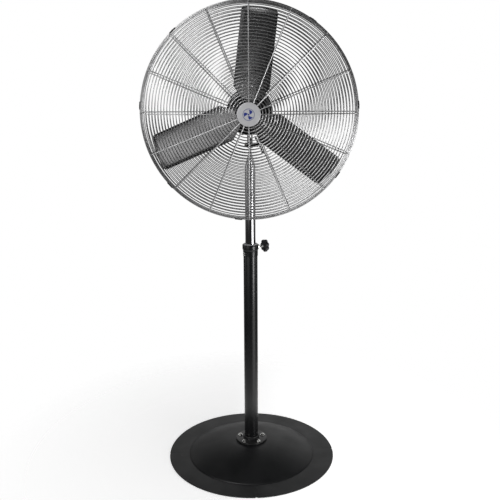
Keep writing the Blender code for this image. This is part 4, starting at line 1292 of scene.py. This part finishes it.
def build_blades():
    """Three paddle blades, each with a row of three rivets and one more near the hub."""
    rows = [-1.0 + k / 10 for k in range(10)] + [k / 44 for k in range(45)]
    columns = [math.sin(math.pi / 2 * (2 * k / 36 - 1)) for k in range(37)]
    blade = sheet_grid(columns, rows, blade_outline, crease)
    rivet = rivet_shell()
    spots = [(-RIVET_SPACING, RIVET_ROW), (0.0, RIVET_ROW), (RIVET_SPACING, RIVET_ROW),
             (0.0, RIVET_INNER)]
    for index, angle in enumerate(BLADE_ANGLES, 1):
        turn = HEAD @ about_z(angle - 90.0)
        blade.fit(f"paddle_{index}", ENAMEL, "rotor", "blade_coat", f"blade_{index}",
                  matrix=turn, sharp=30.0, thickness=BLADE_SHEET)
        for number, (lateral, radial) in enumerate(spots, 1):
            spot = facing(surface_normal(lateral, radial), blade_surface(lateral, radial))
            nodes = [f"rivet_{index}_{number}"] if number < 4 else []
            rivet.fit(f"dome_rivet_{index}_{number}", RIVET, "rotor", "zinc", *nodes,
                      matrix=turn @ spot)


def build_spider():
    """The turned hub and its three pressed arms, which lie behind the blades."""
    bottom = BLADE_PLANE - HUB_HALF_LENGTH
    top = BLADE_PLANE + HUB_HALF_LENGTH
    hub = turned([(HUB_BORE, top, 0.0008), (0.014, top, 0.0008), (HUB_RADIUS, top - 0.004, 0.003),
                  (HUB_RADIUS, bottom, 0.0012), (HUB_BORE, bottom, 0.0006)], 64)
    hub.fit("hub_turned", BLACK, "rotor", "black_coat", "blade_spider", matrix=HEAD)
    lift = -((BLADE_SHEET + ARM_SHEET) / 2 + GAP) / math.cos(BLADE_PITCH + ARM_SLOPE)
    arm = sheet_grid([-1.0 + k / 10 for k in range(21)], [k / 16 for k in range(17)],
                     arm_outline, lift=lift)
    for index, angle in enumerate(BLADE_ANGLES, 1):
        arm.fit(f"spider_arm_{index}", BLACK, "rotor", "black_coat",
                matrix=HEAD @ about_z(angle - 90.0), sharp=40.0, thickness=ARM_SHEET)


def paint_cad_nodes():
    """Looks for the CAD solids that stay in the model, nearly all of them hidden inside it."""
    for node, material in (("stator", COPPER), ("rotor_core", CORE), ("front_bearing", STEEL),
                           ("rear_bearing", STEEL), ("pole_glide", NYLON),
                           ("hub_set_screw", ZINC)):
        materials = frame["nodes"][node].data.materials
        materials.clear()
        materials.append(material)


# ----------------------------------------------------------------------------- studio
def build_floor():
    """A pale floor under the fan that fades into the white surround; its glow is painted light,
    brighter on the right as a painted pool of light.
    """
    nodes = Surface("studio_floor")
    tone = nodes.mix(nodes.patches(0.6, 3.0, 0.3, 0.7), (0.90, 0.90, 0.90), (0.92, 0.92, 0.92))
    solid = nodes.spread(nodes.from_axis(), *FLOOR_FADE, 1.0, 0.0)
    # painted light: the floor's glow rises from left to right, a painted pool of light
    glow = nodes.spread(nodes.place()[0], -0.10, 0.60, FLOOR_GLOW, FLOOR_GLOW_RIGHT)
    material = nodes.set(base_color=tone, roughness=0.9, alpha=solid,
                         emission_color=(1.0, 1.0, 1.0, 1.0), emission_strength=glow)
    profile = [(0.25 * k, FLOOR_LEVEL) for k in range(17)]
    lathe(profile, 96, False).piece("studio_floor", material)


def build_sky():
    """The studio's walls: bright low down behind the fan, dim in front, white to the camera."""
    world = bpy.data.worlds.new("studio")
    bpy.context.scene.world = world
    world.use_nodes = True
    nodes = Nodes(world.node_tree)
    x, y, z = nodes.split(nodes.add("ShaderNodeTexCoord").outputs["Generated"])

    def eased(value, from_min, from_max, to_min, to_max):
        return nodes.spread(value, from_min, from_max, to_min, to_max, "SMOOTHSTEP")

    by_height = nodes.add("ShaderNodeValToRGB")
    nodes.put(by_height.inputs["Fac"], z)
    ramp = by_height.color_ramp
    ramp.interpolation = "EASE"
    for place, level in WALL_LEVELS:
        ramp.elements.new(place).color = (level, level, level, 1.0)
    ramp.elements.remove(ramp.elements[0])
    ramp.elements.remove(ramp.elements[-1])
    wall = nodes.times(eased(y, 0.35, 0.85, 0.0, 1.0), by_height.outputs["Color"],
                       eased(x, -0.30, 0.0, 0.55, 1.0))
    below = eased(z, -0.60, -0.42, BELOW_GLOW, 0.0)
    pool = nodes.times(eased(x, 0.30, 0.60, 0.0, POOL_GLOW), eased(y, -0.35, -0.10, 1.0, 0.0),
                       eased(z, -0.36, -0.28, 1.0, 0.0))
    band = nodes.times(eased(x, -0.90, -0.80, 0.0, BAND_GLOW), eased(x, -0.34, -0.24, 1.0, 0.0),
                       eased(y, -0.30, -0.15, 1.0, 0.0))
    sides = nodes.plus(band, eased(nodes.maths("ABSOLUTE", x), 0.92, 0.99, 0.0, SIDE_GLOW))
    sides = nodes.times(sides, eased(nodes.maths("ABSOLUTE", z), 0.10, 0.24, 1.0, 0.0))
    glow = nodes.plus(wall, below, pool, sides, FRONT_GLOW)

    mix = nodes.add("ShaderNodeMix", data_type="FLOAT")
    nodes.put(mix.inputs[0], nodes.add("ShaderNodeLightPath").outputs["Is Camera Ray"])
    nodes.put(mix.inputs[2], glow)
    nodes.put(mix.inputs[3], 1.0)
    nodes.fill(nodes.tree.nodes["Background"], color=(1.0, 1.0, 1.0, 1.0),
               strength=mix.outputs[0])


def build_lamps():
    """Two soft boxes."""
    for name, location, target, width, height, power in LAMPS:
        data = bpy.data.lights.new(name, "AREA")
        data.shape = "RECTANGLE"
        data.size = width
        data.size_y = height
        data.energy = power
        obj = bpy.data.objects.new(name, data)
        obj.location = location
        direction = Vector(target) - Vector(location)
        obj.rotation_euler = direction.to_track_quat("-Z", "Y").to_euler()
        bpy.context.scene.collection.objects.link(obj)


def build_camera():
    data = bpy.data.cameras.new("camera")
    data.sensor_width = 36.0
    data.lens = CAMERA_LENS
    data.shift_y = CAMERA_SHIFT
    obj = bpy.data.objects.new("camera", data)
    swing = math.radians(CAMERA_SWING)
    obj.location = (CAMERA_DISTANCE * math.sin(swing), -CAMERA_DISTANCE * math.cos(swing),
                    CAMERA_HEIGHT)
    turn = Matrix.Rotation(swing + math.radians(CAMERA_TURN), 4, "Z")
    turn = turn @ Matrix.Rotation(math.radians(90.0 - CAMERA_PITCH), 4, "X")
    turn = turn @ about_z(CAMERA_ROLL)
    obj.rotation_euler = turn.to_euler()
    bpy.context.scene.collection.objects.link(obj)
    bpy.context.scene.camera = obj


bpy.context.scene.view_settings.view_transform = "Standard"
for build in (build_base, build_flange, build_bolts, build_outer_tube, build_collar, build_bush,
              build_clamp, build_inner_pole, build_yoke, build_yoke_fasteners, build_lever,
              build_motor, build_switch_box, build_switch_knob, build_gland, build_guards,
              build_guard_plate, build_clips, build_badge, build_blades, build_spider,
              paint_cad_nodes, build_floor, build_sky, build_lamps, build_camera):
    build()

bpy.context.view_layer.update()
